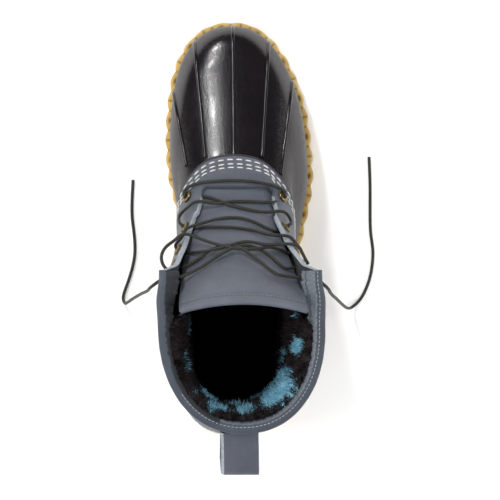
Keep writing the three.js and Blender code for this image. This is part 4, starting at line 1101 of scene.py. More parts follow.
def add_outsole():
    plan, outward, phase, odd = sole_outline()
    calm = 1 - 0.6 * clamp01((plan[:, 0] / OUTSOLE_LENGTH - 0.92) / 0.05)
    bulge = LINK_DEPTH * (np.sin(np.pi * phase) - 0.5) * calm
    split = np.exp(-(((np.minimum(phase, 1 - phase)) * LINK_PITCH / 0.7) ** 2))
    middle = np.exp(-(((phase - 0.5) * LINK_PITCH / 0.75) ** 2)) * odd
    window = np.exp(-(((phase - 0.5) * LINK_PITCH / 2.0) ** 4)) * (1 - odd)
    rows, hollow = [], []

    def add(inset, up, dip, shade):
        edge = plan + outward * (bulge * clamp01(1 - inset / 6) - inset)[:, None]
        rows.append(at(edge[:, 0], edge[:, 1], up - dip))
        hollow.append(shade)

    top = sole_top(plan[:, 0])
    foot = sole_bottom(plan[:, 0])
    for inset, drop in RIM_ROWS:
        on_rim = math.exp(-(((inset - 2.6) / 2.6) ** 4))
        pit = math.exp(-(((inset - 3.4) / 1.2) ** 2))
        dip = drop + 0.8 * on_rim * np.maximum(split, middle) + 1.5 * pit * window
        shade = clamp01(0.75 * on_rim * np.maximum(split, middle) + 0.9 * pit * window)
        # painted shade where the top face lies under the rubber
        under_rubber = clamp01((inset - 4.6) / 0.8)
        add(np.full(len(plan), inset), top, dip, np.maximum(shade, under_rubber))
    for i in range(1, SIDE_ROWS):
        t = i / SIDE_ROWS
        up = lerp(top - RIM_ROWS[-1][1], foot + FOOT_ROWS[0][1], t)
        belt = math.exp(-(((t - 0.3) / 0.08) ** 2))
        pane = math.exp(-(((t - 0.62) / 0.22) ** 4))
        cut = 0.9 * np.maximum(split, middle) + 1.1 * window * pane + 0.35 * belt
        shade = clamp01(0.7 * np.maximum(split, middle) + 0.5 * window * pane + 0.2 * belt)
        add(cut, up, 0, shade)
    for inset, rise in FOOT_ROWS:
        add(np.full(len(plan), inset), foot + rise, 0, np.zeros(len(plan)))
    for row, up in ((rows[0], top), (rows[-1], foot)):
        forward = -row[:, 1]
        centre = at(forward, middle_line(section(1.0), forward), row[:, 2])
        if up is top:
            rows.insert(0, centre)
            hollow.insert(0, np.ones(len(plan)))
        else:
            rows.append(centre)
            hollow.append(np.zeros(len(plan)))
    piece = make_grid("outsole_tread", np.array(rows), wrap_columns=True)
    # hollow carries painted shade in the tread's recesses and under the rubber
    set_values(piece, "hollow", np.array(hollow))
    cut_grooves(piece)
    return dress(piece, "sole_rubber", GUM, node="outsole")


def cut_grooves(piece):
    """Cross grooves in the tread, under the heel and the forepart."""
    parts = []
    for start_share, count in ((0.05, 4), (0.455, 11)):
        for i in range(count):
            start = start_share * OUTSOLE_LENGTH + i * LINK_PITCH
            roof = min(sole_bottom(start), sole_bottom(start + GROOVE_WIDTH)) + GROOVE_DEPTH
            corners = [
                at(f, inward, up)
                for up in (-20, roof)
                for f, inward in (
                    (start, -70),
                    (start + GROOVE_WIDTH, -70),
                    (start + GROOVE_WIDTH, 70),
                    (start, 70),
                )
            ]
            faces = [(0, 1, 2, 3), (7, 6, 5, 4), (0, 4, 5, 1), (1, 5, 6, 2), (2, 6, 7, 3), (3, 7, 4, 0)]
            parts.append((np.array(corners), faces, None))
    cutter = joined("groove_cutter", parts)
    bpy.ops.object.select_all(action="DESELECT")
    bpy.context.view_layer.objects.active = piece
    weld = piece.modifiers.new("weld", "WELD")
    weld.merge_threshold = 1e-6
    cut = piece.modifiers.new("grooves", "BOOLEAN")
    cut.operation = "DIFFERENCE"
    cut.solver = "EXACT"
    cut.object = cutter
    for name in ("weld", "grooves"):
        bpy.ops.object.modifier_apply(modifier=name)
    bpy.data.objects.remove(cutter)


add_outsole()


# Rubber lower
RUBBER_COLUMNS = 420
RUBBER_ROWS = 84


def add_rubber_lower():
    around = np.arange(RUBBER_COLUMNS) / RUBBER_COLUMNS
    low = sole_place(around, CLEARANCE)
    high = seam_place(around) + 0.7
    v = np.linspace(0, 1, RUBBER_ROWS)[:, None]
    place = lerp(low[None], high[None], v)
    outer = skin(place, np.broadcast_to(around, place.shape))
    inner_place = lerp(low[None], high[None], np.linspace(1, 0, 24)[:, None])
    inner = skin(inner_place, np.broadcast_to(around, inner_place.shape), -float(RUBBER_WALL))
    grid = np.concatenate([outer, inner])
    piece = make_grid("rubber_shell", grid, wrap_rows=True, wrap_columns=True)
    # the steep sides' value gives a rougher finish and a lighter colour, which is painted reflection
    steep = skin_normal(place, np.broadcast_to(around, place.shape))[..., 2]
    matt_and_painted_sheen = np.concatenate([clamp01((0.86 - steep) / 0.45), np.ones(inner_place.shape[:1] + around.shape)])
    set_values(piece, "matt_and_painted_sheen", matt_and_painted_sheen)
    dress(piece, "lower_rubber", RUBBER, node="rubber_lower")
    ribs = joined("toe_ribs", [rib_part(*rib) for rib in RIBS])
    dress(ribs, "lower_rubber", RIB_RUBBER, node="rubber_lower")


RIB_STATIONS = 140
RIB_PROFILE = 15


def rib_part(from_along, from_inward, to_along, to_inward):
    start = np.array([from_along * OUTSOLE_LENGTH, from_inward * BALL_WIDTH])
    run = np.array([to_along * OUTSOLE_LENGTH, to_inward * BALL_WIDTH]) - start
    run = run / np.hypot(*run)
    low = FOREPART_THICKNESS + TOE_SPRING
    angle = np.linspace(np.pi / 2, RIB_END_ANGLE, RIB_STATIONS)
    ray = np.stack([run[0] * np.cos(angle), run[1] * np.cos(angle), np.sin(angle)], -1)
    origin = np.array([*start, low])

    def within(distance):
        p = origin + ray * distance[:, None]
        return inside_form(p[:, 0], p[:, 1], p[:, 2])

    reach = bisect(within, np.zeros(RIB_STATIONS), np.full(RIB_STATIONS, OUTSOLE_LENGTH / 2))
    on = origin + ray * reach[:, None]
    under_leather = on[:, 2] > np.interp(on[:, 0], SEAM_FORWARD, SEAM_UP) + 1.5
    on = on[~under_leather]
    side = np.where(on[:, 1] > middle_line(section(place_at_height(on[:, 2])), on[:, 0]), 1, -1)
    normal = skin_normal(*beside(on[:, 0], on[:, 2], side))
    line = at(on[:, 0], on[:, 1], on[:, 2])
    across = unit(np.cross(np.gradient(line, axis=0), normal))
    share = np.sin(np.linspace(-np.pi / 2, np.pi / 2, RIB_PROFILE))
    width = 0.5 * RIB_WIDTH
    height = (RIB_HEIGHT + 0.5) * (1 - np.abs(share) ** 2.6) ** 0.6 - 0.5
    grid = (
        line[:, None]
        + across[:, None] * (share * width)[None, :, None]
        + normal[:, None] * height[None, :, None]
    )
    faces, _, _ = grid_faces(len(line), RIB_PROFILE)
    return grid, faces.reshape(-1, 4)[:, ::-1].tolist(), None


add_rubber_lower()


# Leather shaft
FRONT_EDGE_POINTS = 24
CORNER_RADIUS = 4
TURN_POINTS = 8
LEAD_POINTS = 10
FLAP_POINTS = 80
COLLAR_POINTS = 110
FLAP_START = FRONT_EDGE_POINTS + TURN_POINTS + LEAD_POINTS
FLAP_END = FLAP_START + FLAP_POINTS - 1


def signed(around):
    return np.where(around > 0.75, around - 1, around)


def throat_half(side):
    """The shaft's upper edge on one side, as section places and shares of the way round, from the
    front of the throat to the back of the collar, with the numbers of its corners."""
    middle = THROAT_MIDDLE * BALL_WIDTH
    front = THROAT_FOOT["along"][0] * OUTSOLE_LENGTH
    half = THROAT_FOOT["half"][0] * BALL_WIDTH
    turn = np.linspace(0, np.pi / 2, TURN_POINTS)
    plan_forward = np.concatenate([
        np.full(FRONT_EDGE_POINTS, front),
        front - CORNER_RADIUS * (1 - np.cos(turn)),
        np.linspace(front - CORNER_RADIUS - 2, 0.532 * OUTSOLE_LENGTH, LEAD_POINTS),
    ])
    plan_half = np.concatenate([
        np.linspace(0, half - CORNER_RADIUS, FRONT_EDGE_POINTS, endpoint=False),
        half - CORNER_RADIUS * (1 - np.sin(turn)),
        np.interp(
            -plan_forward[-LEAD_POINTS:] / OUTSOLE_LENGTH, -THROAT_FOOT["along"], THROAT_FOOT["half"]
        ) * BALL_WIDTH,
    ])
    place, around = below(plan_forward, middle + side * plan_half)
    t = np.linspace(0, rows_of(THROAT) - 1, 200)
    leg = blend(THROAT, "leg", t)
    t = np.interp(np.linspace(0.235, 1, FLAP_POINTS), leg, t)
    up = INSTEP_HEIGHT + blend(THROAT, "leg", t) * LEG_HEIGHT
    flap_place, flap_around = beside(blend(THROAT, "along", t) * OUTSOLE_LENGTH, up, side)
    back = np.linspace(flap_around[-1], 0.5, COLLAR_POINTS)[1:]
    place = np.concatenate([place, flap_place, np.full(len(back), flap_place[-1])])
    around = np.concatenate([around, flap_around, back])
    corners = (FRONT_EDGE_POINTS + TURN_POINTS // 2, FLAP_START, FLAP_END)
    return place, around, corners


SEAM_SHARES = (0, 0.06, 0.11, 0.25, 0.5)


def leather_band():
    """Seam and upper edge as matched columns of section places and shares of the way round."""
    halves = []
    for side in (INNER, OUTER):
        place, around, corners = throat_half(side)
        knots = (0, *corners, len(place) - 1)
        shares = np.interp(np.arange(len(place)), knots, SEAM_SHARES)
        around = signed(around)
        around = np.where((side == OUTER) & (around < 0.3), around + 1, around)
        halves.append((place, around, shares if side == INNER else 1 - shares))
    inner, outer = halves
    order = slice(-2, 0, -1)
    return [np.concatenate([a, b[order]]) for a, b in zip(inner, outer)]


TOP_PLACE, TOP_AROUND, SEAM_AROUND = leather_band()
SEAM_PLACE = seam_place(SEAM_AROUND % 1)


def band_skin(share, offset):
    """Points of the leather's band at shares of the way from the seam to the upper edge."""
    place = lerp(SEAM_PLACE, TOP_PLACE, share)
    around = lerp(SEAM_AROUND, TOP_AROUND, share)
    return skin(place, around % 1, offset)


def band_lengths():
    shares = np.linspace(0, 1, 40)[:, None]
    points = band_skin(np.broadcast_to(shares, (40, len(SEAM_PLACE))), np.zeros((40, len(SEAM_PLACE))))
    return np.linalg.norm(np.diff(points, axis=0), axis=-1).sum(0)


BAND_LENGTH = band_lengths()

# Creases of the leather in the side view: from and to as lengths forward and heights, side, depth, width
CREASES = (
    (150, 84, 128, 112, INNER, 0.9, 4.5),
    (146, 78, 118, 96, INNER, 0.8, 5.0),
    (135, 72, 100, 84, INNER, 0.6, 5.5),
    (152, 82, 130, 110, OUTER, 0.9, 4.5),
    (146, 76, 120, 92, OUTER, 0.8, 5.0),
    (132, 72, 96, 86, OUTER, 0.6, 5.5),
    (40, 96, 84, 104, INNER, 0.5, 6.0),
    (40, 94, 82, 100, OUTER, 0.5, 6.0),
    (30, 118, 76, 124, OUTER, 0.4, 7.0),
    (34, 128, 70, 132, INNER, 0.4, 7.0),
)


def crease_relief(points):
    forward, up = -points[..., 1], points[..., 2]
    side = np.where(points[..., 0] > 0, INNER, OUTER)
    relief = np.zeros(forward.shape)
    for f0, z0, f1, z1, crease_side, depth, width in CREASES:
        run = np.array([f1 - f0, z1 - z0])
        t = clamp01(((forward - f0) * run[0] + (up - z0) * run[1]) / (run @ run))
        off_f, off_z = forward - (f0 + t * run[0]), up - (z0 + t * run[1])
        across = (-run[1] * off_f + run[0] * off_z) / np.hypot(*run)
        away = np.hypot(off_f, off_z) / width
        fade = np.exp(-(away**2))
        ridge = np.exp(-(((across - 1.5 * width) ** 2 + (away * width) ** 2 * 0.2) / width**2))
        relief += np.where(side == crease_side, -depth * fade + 0.45 * depth * ridge, 0)
    wave = 0.16 * np.sin(forward / 9.0 + up / 17.0) + 0.12 * np.sin(forward / 5.3 - up / 7.7)
    return relief + wave


BAND_ROWS = (
    # share of the way up, millimetres further, offset from the form, material
    (0, 0.05, 0.4, 3),
    (0, -0.35, 0.9, 3),
    (0, -0.45, 1.4, 3),
    (0, -0.3, 1.9, 3),
    (0, 0.1, 2.3, 3),
    (0, 0.6, 2.45, 3),
    (0, 1.1, 2.35, 3),
    (0, 1.5, 2.2, 0),
    (0, 2.0, 2.2, 0),
)
BAND_STEPS = 44
EDGE_ROWS = (
    (1, -1.3, 2.2, 1),
    (1, -0.5, 2.1, 1),
    (1, -0.15, 1.9, 1),
    (1, 0, 1.5, 1),
    (1, 0, 0.5, 1),
    (1, 0, -0.5, 1),
    (1, -0.15, -0.9, 2),
    (1, -0.6, -1.15, 2),
    (1, -1.5, -1.2, 2),
)
INSIDE_STEPS = 16


def add_upper():
    rows = list(BAND_ROWS)
    for i in range(1, BAND_STEPS):
        t = i / BAND_STEPS
        rows.append((t, 2.0 - 3.2 * t, LEATHER_OUT, 0))
    rows += EDGE_ROWS
    for i in range(1, INSIDE_STEPS):
        t = 1 - i / INSIDE_STEPS
        rows.append((t, -1.5 * t + (LAP + 2) * (1 - t), -LEATHER_IN, 2))
    rows += [(0, LAP + 1, -LEATHER_IN, 2), (0, LAP - 0.5, CLEARANCE, 2), (0, 2, CLEARANCE, 2)]
    grid = []
    for share, further, offset, _ in rows:
        t = share + further / BAND_LENGTH
        base = band_skin(t, np.full(len(BAND_LENGTH), float(offset)))
        if offset > 1.8:
            seam_room = clamp01(t * BAND_LENGTH / 14)
            relief = crease_relief(base) * seam_room * clamp01((1 - t) * BAND_LENGTH / 6)
            base = band_skin(t, offset + relief)
        grid.append(base)
    slots = [row[3] for row in rows]
    piece = make_grid("leather_shaft", np.array(grid), wrap_rows=True, wrap_columns=True, row_slots=slots)
    # the edge in front of the throat is folded, so it isn't pale as the flaps' edges are
    folded = (THROAT_FOOT["along"][0] - 0.022) * OUTSOLE_LENGTH
    change_slot(piece, 1, 0, lambda forward, inward, up: forward > folded)
    # slot 2, the leather's inner face and lap, is the near-black facing leather: painted shade
    dress(piece, "shaft_leather", SLATE, EDGE_PALE, SLATE_INSIDE_PAINTED_SHADE, EDGE_DARK, node="upper")


add_upper()


# Stitches


def stitch_parts(line, normals, pitch, length, width, height):
    """Short threads along a line of points, each bowed out of the surface and sunk at its ends."""
    run = lengths_along(line)
    parts = []
    count = round(run[-1] / pitch)
    for i in range(count):
        at_run = (i + 0.5) * run[-1] / count + np.linspace(-0.5, 0.5, 9) * length
        centre = np.stack([np.interp(at_run, run, line[:, k]) for k in range(3)], -1)
        normal = unit(np.stack([np.interp(at_run, run, normals[:, k]) for k in range(3)], -1))
        along = unit(np.gradient(centre, axis=0))
        across = np.cross(normal, along)
        bow = np.sqrt(1 - np.linspace(-1, 1, 9) ** 2)
        angle = np.linspace(0, 2 * np.pi, 8, endpoint=False)
        thick = (0.35 + 0.65 * bow)[:, None]
        ring = (
            centre[:, None]
            + normal[:, None] * (height * (bow[:, None] - 0.55) + np.sin(angle) * thick * height)[..., None]
            + across[:, None] * (np.cos(angle) * thick * width / 2)[..., None]
        )
        faces, _, _ = grid_faces(9, 8, wrap_columns=True)
        ends = [list(range(8))[::-1], [64 + k for k in range(8)]]
        parts.append((ring, faces.reshape(-1, 4).tolist() + ends, None))
    return parts


SEAM_STITCH_ROWS = (4.0, 7.5, 10.4)


def add_seam_stitches():
    parts = []
    for distance in SEAM_STITCH_ROWS:
        t = distance / BAND_LENGTH
        line = band_skin(t, np.full(len(BAND_LENGTH), LEATHER_OUT + 0.05))
        line = np.vstack([line, line[:1]])
        normals = skin_normal(lerp(SEAM_PLACE, TOP_PLACE, t), lerp(SEAM_AROUND, TOP_AROUND, t) % 1)
        normals = np.vstack([normals, normals[:1]])
        parts += stitch_parts(line, normals, 6.4, 4.5, 1.0, 0.42)
    piece = joined("seam_stitches", parts)
    dress(piece, "shaft_leather", WHITE_THREAD)


add_seam_stitches()


# Tongue
TONGUE_ROWS = 90
TONGUE_COLUMNS = 72
TONGUE_ROOM = 3.2  # between the form's skin and the tongue's edges
HEM = 6.7


def tongue_limits(place):
    """How far the tongue reaches to each side before it meets the shaft, as shares of its half."""
    limits = []
    for side in (INNER, OUTER):
        def fits(share):
            p = tongue_point(place, side * share, 0.0)
            forward, inward, up = -p[..., 1], p[..., 0], p[..., 2]
            s = section(place_at_height(up))
            room = half_width(s, forward) - TONGUE_ROOM
            return (forward < s["front"] - TONGUE_ROOM) & (np.abs(inward - middle_line(s, forward)) < room)
        reach = bisect(fits, np.zeros(place.shape), np.ones(place.shape))
        limits.append(lerp(reach, 1.0, clamp01(3.6 - place)))
    return limits


def tongue_drop(place, share):
    """How far the tongue's sides drape, so that they lie under the shaft in front."""
    def outside(drop):
        p = tongue_point(place, share, -drop)
        forward, inward, up = -p[..., 1], p[..., 0], p[..., 2]
        s = section(place_at_height(up))
        room = half_width(s, forward) - TONGUE_ROOM
        fits = (forward < s["front"] - TONGUE_ROOM) & (np.abs(inward - middle_line(s, forward)) < room)
        return ~fits
    return bisect(outside, np.zeros(share.shape), np.full(share.shape, 22.0)) * clamp01(4.2 - place)


def tongue_relief(forward, across):
    """Soft folds over the instep."""
    folds = 0.5 * np.exp(-(((forward - 158) / 5) ** 2)) - 0.7 * np.exp(-(((forward - 150) / 4) ** 2))
    folds += 0.6 * np.exp(-(((forward - 141) / 4.5) ** 2)) - 0.5 * np.exp(-(((forward - 134) / 4) ** 2))
    return folds * np.exp(-((across / 0.75) ** 4))


def add_tongue():
    last = rows_of(TONGUE) - 1
    place = np.linspace(0, last, TONGUE_ROWS)
    inner, outer = tongue_limits(place)
    w = np.linspace(-1, 1, TONGUE_COLUMNS)
    share = np.where(w[None] > 0, w[None] * inner[:, None], w[None] * outer[:, None])
    centre = tongue_point(place, np.zeros(TONGUE_ROWS), 0.0)
    run = lengths_along(centre)
    from_end = run[-1] - run
    rounding = np.sqrt(clamp01(1 - (np.abs(w) - 0.94).clip(0) ** 2 / 0.06**2))
    padding = 0.9 * np.exp(-((from_end - 14) / 12) ** 2)
    groove = -1.0 * np.exp(-(((from_end - HEM) / 1.3) ** 2))
    hem = 0.9 * np.exp(-(((from_end - 2.5) / 3.0) ** 2))
    half = TONGUE_THICKNESS / 2
    rows = []
    drop = tongue_drop(np.broadcast_to(place[:, None], share.shape), share)
    for i, spot in enumerate(place):
        forward = -centre[i, 1]
        bulge = (padding[i] + groove[i] + hem[i] + tongue_relief(forward, w)) * rounding
        lift = -half + half * rounding + bulge - drop[i]
        rows.append(tongue_point(np.full(TONGUE_COLUMNS, spot), share[i], lift))
    end = unit((centre[-1] - centre[-2])[None])[0]
    for angle in np.linspace(0, np.pi, 9)[1:-1]:
        lift = -half + (half + 0.4) * math.cos(angle) * rounding
        ring = tongue_point(np.full(TONGUE_COLUMNS, float(last)), share[-1], lift)
        rows.append(ring + end * (half + 0.2) * math.sin(angle) * rounding[:, None])
    for i in range(TONGUE_ROWS - 1, -1, -3):
        lift = -half - half * rounding - drop[i]
        rows.append(tongue_point(np.full(TONGUE_COLUMNS, place[i]), share[i], lift))
    piece = make_grid("tongue_leather", np.array(rows), flip=True)
    dress(piece, "tongue_leather", SLATE_TONGUE, node="tongue")
    spots = np.interp(HEM, from_end[::-1], place[::-1])
    across = np.linspace(-0.94, 0.94, 120)
    limit = np.where(across > 0, np.interp(spots, place, inner), np.interp(spots, place, outer))
    line = tongue_point(np.full(120, spots), across * limit, 0.15)
    above = tongue_point(np.full(120, spots), across * limit, 1.15)
    stitches = joined("tongue_stitches", stitch_parts(line, above - line, 2.4, 1.7, 0.6, 0.28))
    dress(stitches, "tongue_leather", SLATE_THREAD)


add_tongue()


# Collar binding
BINDING_COLUMNS = 220
BINDING_PROFILE = (
    # offset from the form, height over the collar's edge, share of the inside slope, material
    (2.5, -9.9, 0, 1),
    (3.3, -10.0, 0, 1),
    (3.7, -9.5, 0, 0),
    (3.8, -6.0, 0, 0),
    (3.8, -2.0, 0, 0),
    (3.7, -0.4, 0, 0),
    (3.3, 0.6, 0, 0),
    (2.5, 1.2, 0, 0),
    (1.2, 1.5, 0, 0),
    (0.0, 1.5, 0, 0),
    (-1.2, 1.3, 0, 0),
    (-2.1, 0.9, 0.3, 1),
    (-2.8, 0.2, 0.4, 1),
    (-3.1, -1.5, 0.4, 1),
    (-3.5, -4.0, 0.4, 1),
    (-3.9, -6.5, 0.66, 0),
    (-4.3, -7.6, 0.8, 1),
    (-4.6, -9.0, 0.9, 1),
    (-4.7, -11.0, 1.0, 1),
    (-3.9, -12.7, 1.0, 1),
    (-3.0, -12.4, 1.0, 1),
    (-2.4, -8.0, 0.6, 1),
    (-1.7, -2.0, 0.1, 1),
    (-1.5, 0.3, 0, 1),
    (2.4, 0.3, 0, 1),
)


def inside_slope(around):
    return np.interp(around, (0.14, 0.27, 0.4, 0.5, 0.62, 0.75, 0.86), (0, 0, 0.3, 0.6, 0.6, 0.6, 0.3))


def add_binding():
    around = np.linspace(TOP_AROUND[FLAP_END], TOP_AROUND[-FLAP_END], BINDING_COLUMNS)
    slope = inside_slope(around)
    grid = []
    for offset, height, share, _ in BINDING_PROFILE:
        place = place_at_height(np.full(len(around), SHAFT_HEIGHT + height))
        ripple = 0.12 * np.sin(around * 190) + 0.1 * np.sin(around * 67)
        if share >= 0.3:
            ripple = ripple + 0.35 * np.sin(around * 733) + 0.3 * np.sin(around * 431)
        grid.append(skin(place, around, offset - share * slope + ripple * (0.3 + share)))
    slots = [row[3] for row in BINDING_PROFILE]
    piece = make_grid("collar_band", np.array(grid), wrap_rows=True, row_slots=slots)
    rim = section(place_at_height(np.full(1, float(SHAFT_HEIGHT))))
    rim = {key: value[0] for key, value in rim.items()}

    # painted shade: binding faces within the collar on its inner side take the near-black facing leather
    def painted_shade_facing(forward, inward, up):
        inside = inward - middle_line(rim, forward) < half_width(rim, forward) - 1.6
        return inside & (inward > 12) & (forward > 20)

    change_slot(piece, 0, 2, painted_shade_facing)
    change_slot(piece, 1, 2, painted_shade_facing)
    dress(piece, "binding_leather", SLATE_BINDING_WITH_PAINTED_SHADE, EDGE_ROUGH, SLATE_INSIDE_PAINTED_SHADE, node="collar_binding")
    around = around[around > 0.36]
    place = place_at_height(np.full(len(around), SHAFT_HEIGHT + 1.5))
    line = skin(place, around, -0.6)
    upward = np.broadcast_to([0.0, 0.0, 1.0], line.shape)
    stitches = joined("collar_stitches", stitch_parts(line, upward, 2.6, 1.8, 0.6, 0.28))
    dress(stitches, "binding_leather", SLATE_THREAD)


add_binding()


# Eyelets
EYELET_PROFILE = (
    (1.75, -3.2),
    (1.7, -1.0),
    (1.75, 1.0),
    (2.0, 1.5),
    (2.6, 1.75),
    (3.4, 1.6),
    (4.0, 1.1),
    (4.25, 0.5),
    (4.2, 0.1),
    (2.5, 0.1),
    (2.5, -3.2),
)


def add_eyelets():
    angle = np.linspace(0, 2 * np.pi, 32, endpoint=False)
    for side_name, side in (("inner", INNER), ("outer", OUTER)):
        for number in range(1, rows_of(EYELETS) + 1):
            place, around = eyelet_spot(number, side)
            centre = skin(place, around, float(LEATHER_OUT))
            normal = skin_normal(place, around)
            one = unit(np.cross(normal, [0.3, 0.2, 1.0]))
            two = np.cross(normal, one)
            ring = np.cos(angle)[:, None] * one + np.sin(angle)[:, None] * two
            grid = np.array([centre + r * ring + h * normal for r, h in EYELET_PROFILE])
            piece = make_grid(f"eyelet_ring_{side_name}_{number}", grid, wrap_rows=True, wrap_columns=True)
            dress(piece, "eyelet_brass", BRASS, node=f"eyelet_{side_name}_{number}")


add_eyelets()


# Pull loop
LOOP_STEPS = 60


def add_pull_loop():
    """A strip sewn to the shaft's back at both ends, folded round at its tip."""
    middle = SHAFT_HEIGHT - LOOP_DROP - LOOP_THICKNESS - LOOP_GAP / 2
    centre_radius = LOOP_GAP / 2 + LOOP_THICKNESS / 2
    root = skin(*beside(0.0, middle, INNER), LEATHER_OUT + CLEARANCE)
    tip = -root[1] - LOOP_REACH
    bend_at = tip + LOOP_THICKNESS + LOOP_GAP / 2

    def on_shaft(up):
        p = skin(*beside(0.0, up, INNER), LEATHER_OUT + CLEARANCE + LOOP_THICKNESS / 2)
        return -p[1], up

    path = [on_shaft(middle + centre_radius + d) for d in (LOOP_LEG - 1, LOOP_LEG - 4, LOOP_LEG - 8)]
    start = on_shaft(middle + centre_radius)[0]
    path += [(start - 1.5, middle + centre_radius + 2.0), (start - 6, middle + centre_radius + 0.3)]
    path += [(lerp(start - 10, bend_at, t), middle + centre_radius) for t in (0, 0.35, 0.7)]
    for turn in np.linspace(math.pi / 2, 3 * math.pi / 2, 9):
        path.append((bend_at + centre_radius * math.cos(turn), middle + centre_radius * math.sin(turn)))
    path += [(lerp(start - 10, bend_at, t), middle - centre_radius) for t in (0.7, 0.35, 0)]
    path += [(start - 6, middle - centre_radius - 0.3), (start - 1.5, middle - centre_radius - 2.0)]
    path += [on_shaft(middle - centre_radius - d) for d in (LOOP_LEG - 8, LOOP_LEG - 4, LOOP_LEG - 1)]
    line = np.array([[0, -f, z] for f, z in path])
    line = resample(catmull(line, 12), LOOP_STEPS)
    tangent = unit(np.gradient(line, axis=0))
    out = unit(np.cross(np.array([1.0, 0, 0]), tangent))
    half, thick = LOOP_WIDTH / 2, LOOP_THICKNESS / 2
    across = [(-half, 0), (-half, 0.75), (-half + 0.35, 1), (-half + 3, 1), (0, 1), (half - 4, 1)]
    across += [(half - 1.9, 1), (half, 0.1), (half, 0), (half, -0.75), (half - 0.35, -1), (half - 3, -1)]
    across += [(0, -1), (-half + 3, -1), (-half + 0.35, -1), (-half, -0.75)]
    slots = [1 if abs(x) >= half - 0.01 or x == half - 1.9 else 0 for x, _ in across]
    lower = clamp01((np.arange(LOOP_STEPS) / LOOP_STEPS - 0.45) / 0.2)
    twist = 1.6 * np.sin(np.pi * np.arange(LOOP_STEPS) / LOOP_STEPS) * (2 * lower - 1)
    grid = []
    for x, h in across:
        grid.append(line + np.array([1.0, 0, 0]) * (x + 0.4 * twist)[:, None] + out * (h * thick))
    piece = make_grid("pull_strap", np.array(grid), wrap_rows=True, row_slots=slots)
    dress(piece, "binding_leather", SLATE_LOOP, EDGE_PALE, node="pull_loop")


add_pull_loop()


# Lining and insole
LINING_COLUMNS = 200
LINING_ROWS = 70
PILE = 5.0


def lining_start(up):
    """Where the fleece begins on each side, as shares of the way round from the front."""
    return np.interp(up, (70, 84, 110, 150, 180), (0.0, 0.06, 0.14, 0.22, 0.25))


def lining_grid(rows, columns):
    """Section places, shares of the way round and offsets of the fleece's ground."""
    up = np.linspace(17, SHAFT_HEIGHT - 3, rows)
    place = place_at_height(up)
    start = lining_start(up)
    around = lerp(start[:, None], 1 - start[:, None], np.linspace(0, 1, columns)[None])
    place = np.broadcast_to(place[:, None], around.shape)
    return place, around, np.broadcast_to(lining_offset(up)[:, None], around.shape) * lining_fullness(around)


def lining_offset(up):
    return np.interp(up, (0, 60, 82, 110, 140, 160, 170, 177), (-4.4, -4.4, -5, -9, -10, -7, -5, -3.2))


def lining_fullness(around):
    """The pile is fullest round the back."""
    return 0.85 + 0.45 * np.exp(-(((around - 0.55) / 0.15) ** 2))


# Blue patches of the fleece. up is a share of the shaft's height, and radius one of the ball's width
BLUE_PATCHES = table(
    "along inward up radius strength",
    (0.15, -0.22, 0.9, 0.115, 1.0),
    (0.115, 0.13, 0.92, 0.07, 0.85),
    (0.1, -0.04, 0.9, 0.055, 0.85),
    (0.24, -0.37, 0.9, 0.052, 0.8),
    (0.31, -0.40, 0.85, 0.04, 0.7),
    (0.31, 0.41, 0.88, 0.035, 0.7),
    (0.2, 0.33, 0.85, 0.075, 0.4),
    (0.14, 0.25, 0.94, 0.04, 0.6),
    (0.12, 0.22, 0.76, 0.07, 0.8),
    (0.12, -0.12, 0.7, 0.08, 0.8),
    (0.21, -0.32, 0.72, 0.07, 0.7),
    (0.28, 0.38, 0.7, 0.08, 0.7),
    (0.1, 0.03, 0.78, 0.045, 0.7),
)


def blueness(points):
    """How blue the pile is at points: soft patches with ragged edges, fading out down the shaft as painted
    shade.
    """
    forward, inward, up = -points[..., 1], points[..., 0], points[..., 2]
    ragged = 0.5 * np.sin(forward * 0.61 + up * 0.37) * np.sin(inward * 0.53 - up * 0.29)
    ragged = ragged + 0.2 * np.sin(forward * 1.3 - inward * 0.9) + 0.14 * np.sin(inward * 1.9 + up * 1.1)
    blue = np.zeros(forward.shape)
    for i in range(rows_of(BLUE_PATCHES)):
        along, across, high, radius, strength = (BLUE_PATCHES[key][i] for key in BLUE_PATCHES)
        away = np.hypot(forward - along * OUTSOLE_LENGTH, inward - across * BALL_WIDTH)
        away = np.hypot(away, 0.6 * (up - high * SHAFT_HEIGHT))
        blue = np.maximum(blue, strength * np.exp(-((away / (1.35 * radius * BALL_WIDTH)) ** 4)))
    # painted shade: the blue fades out below 95 millimetres, deep in the boot
    return (blue + ragged * (0.12 + 0.8 * blue)) * clamp01((up - 95) / 45)


def add_lining():
    place, around, offset = lining_grid(LINING_ROWS, LINING_COLUMNS)
    rng = np.random.default_rng(SEED)
    lumps = 0.8 * np.sin(around * 210 + place * 9) * np.sin(place * 31) + rng.normal(0, 0.25, around.shape)
    points = skin(place, around, offset - 0.8 - np.abs(lumps))
    piece = make_grid("fleece_ground", points, flip=True)
    set_roots(piece, points)
    dress(piece, "insole_felt", FLEECE)


def set_roots(piece, points):
    attribute = piece.data.attributes.new("root", "FLOAT_VECTOR", "POINT")
    attribute.data.foreach_set("vector", to_frame(points).astype(np.float32).ravel())
    # blue also fades out low in the boot: painted shade
    set_values(piece, "blue", blueness(points))
    # height darkens the pile low in the boot: painted shade
    set_values(piece, "height", points[..., 2] / SHAFT_HEIGHT)


LOCKS = 21500


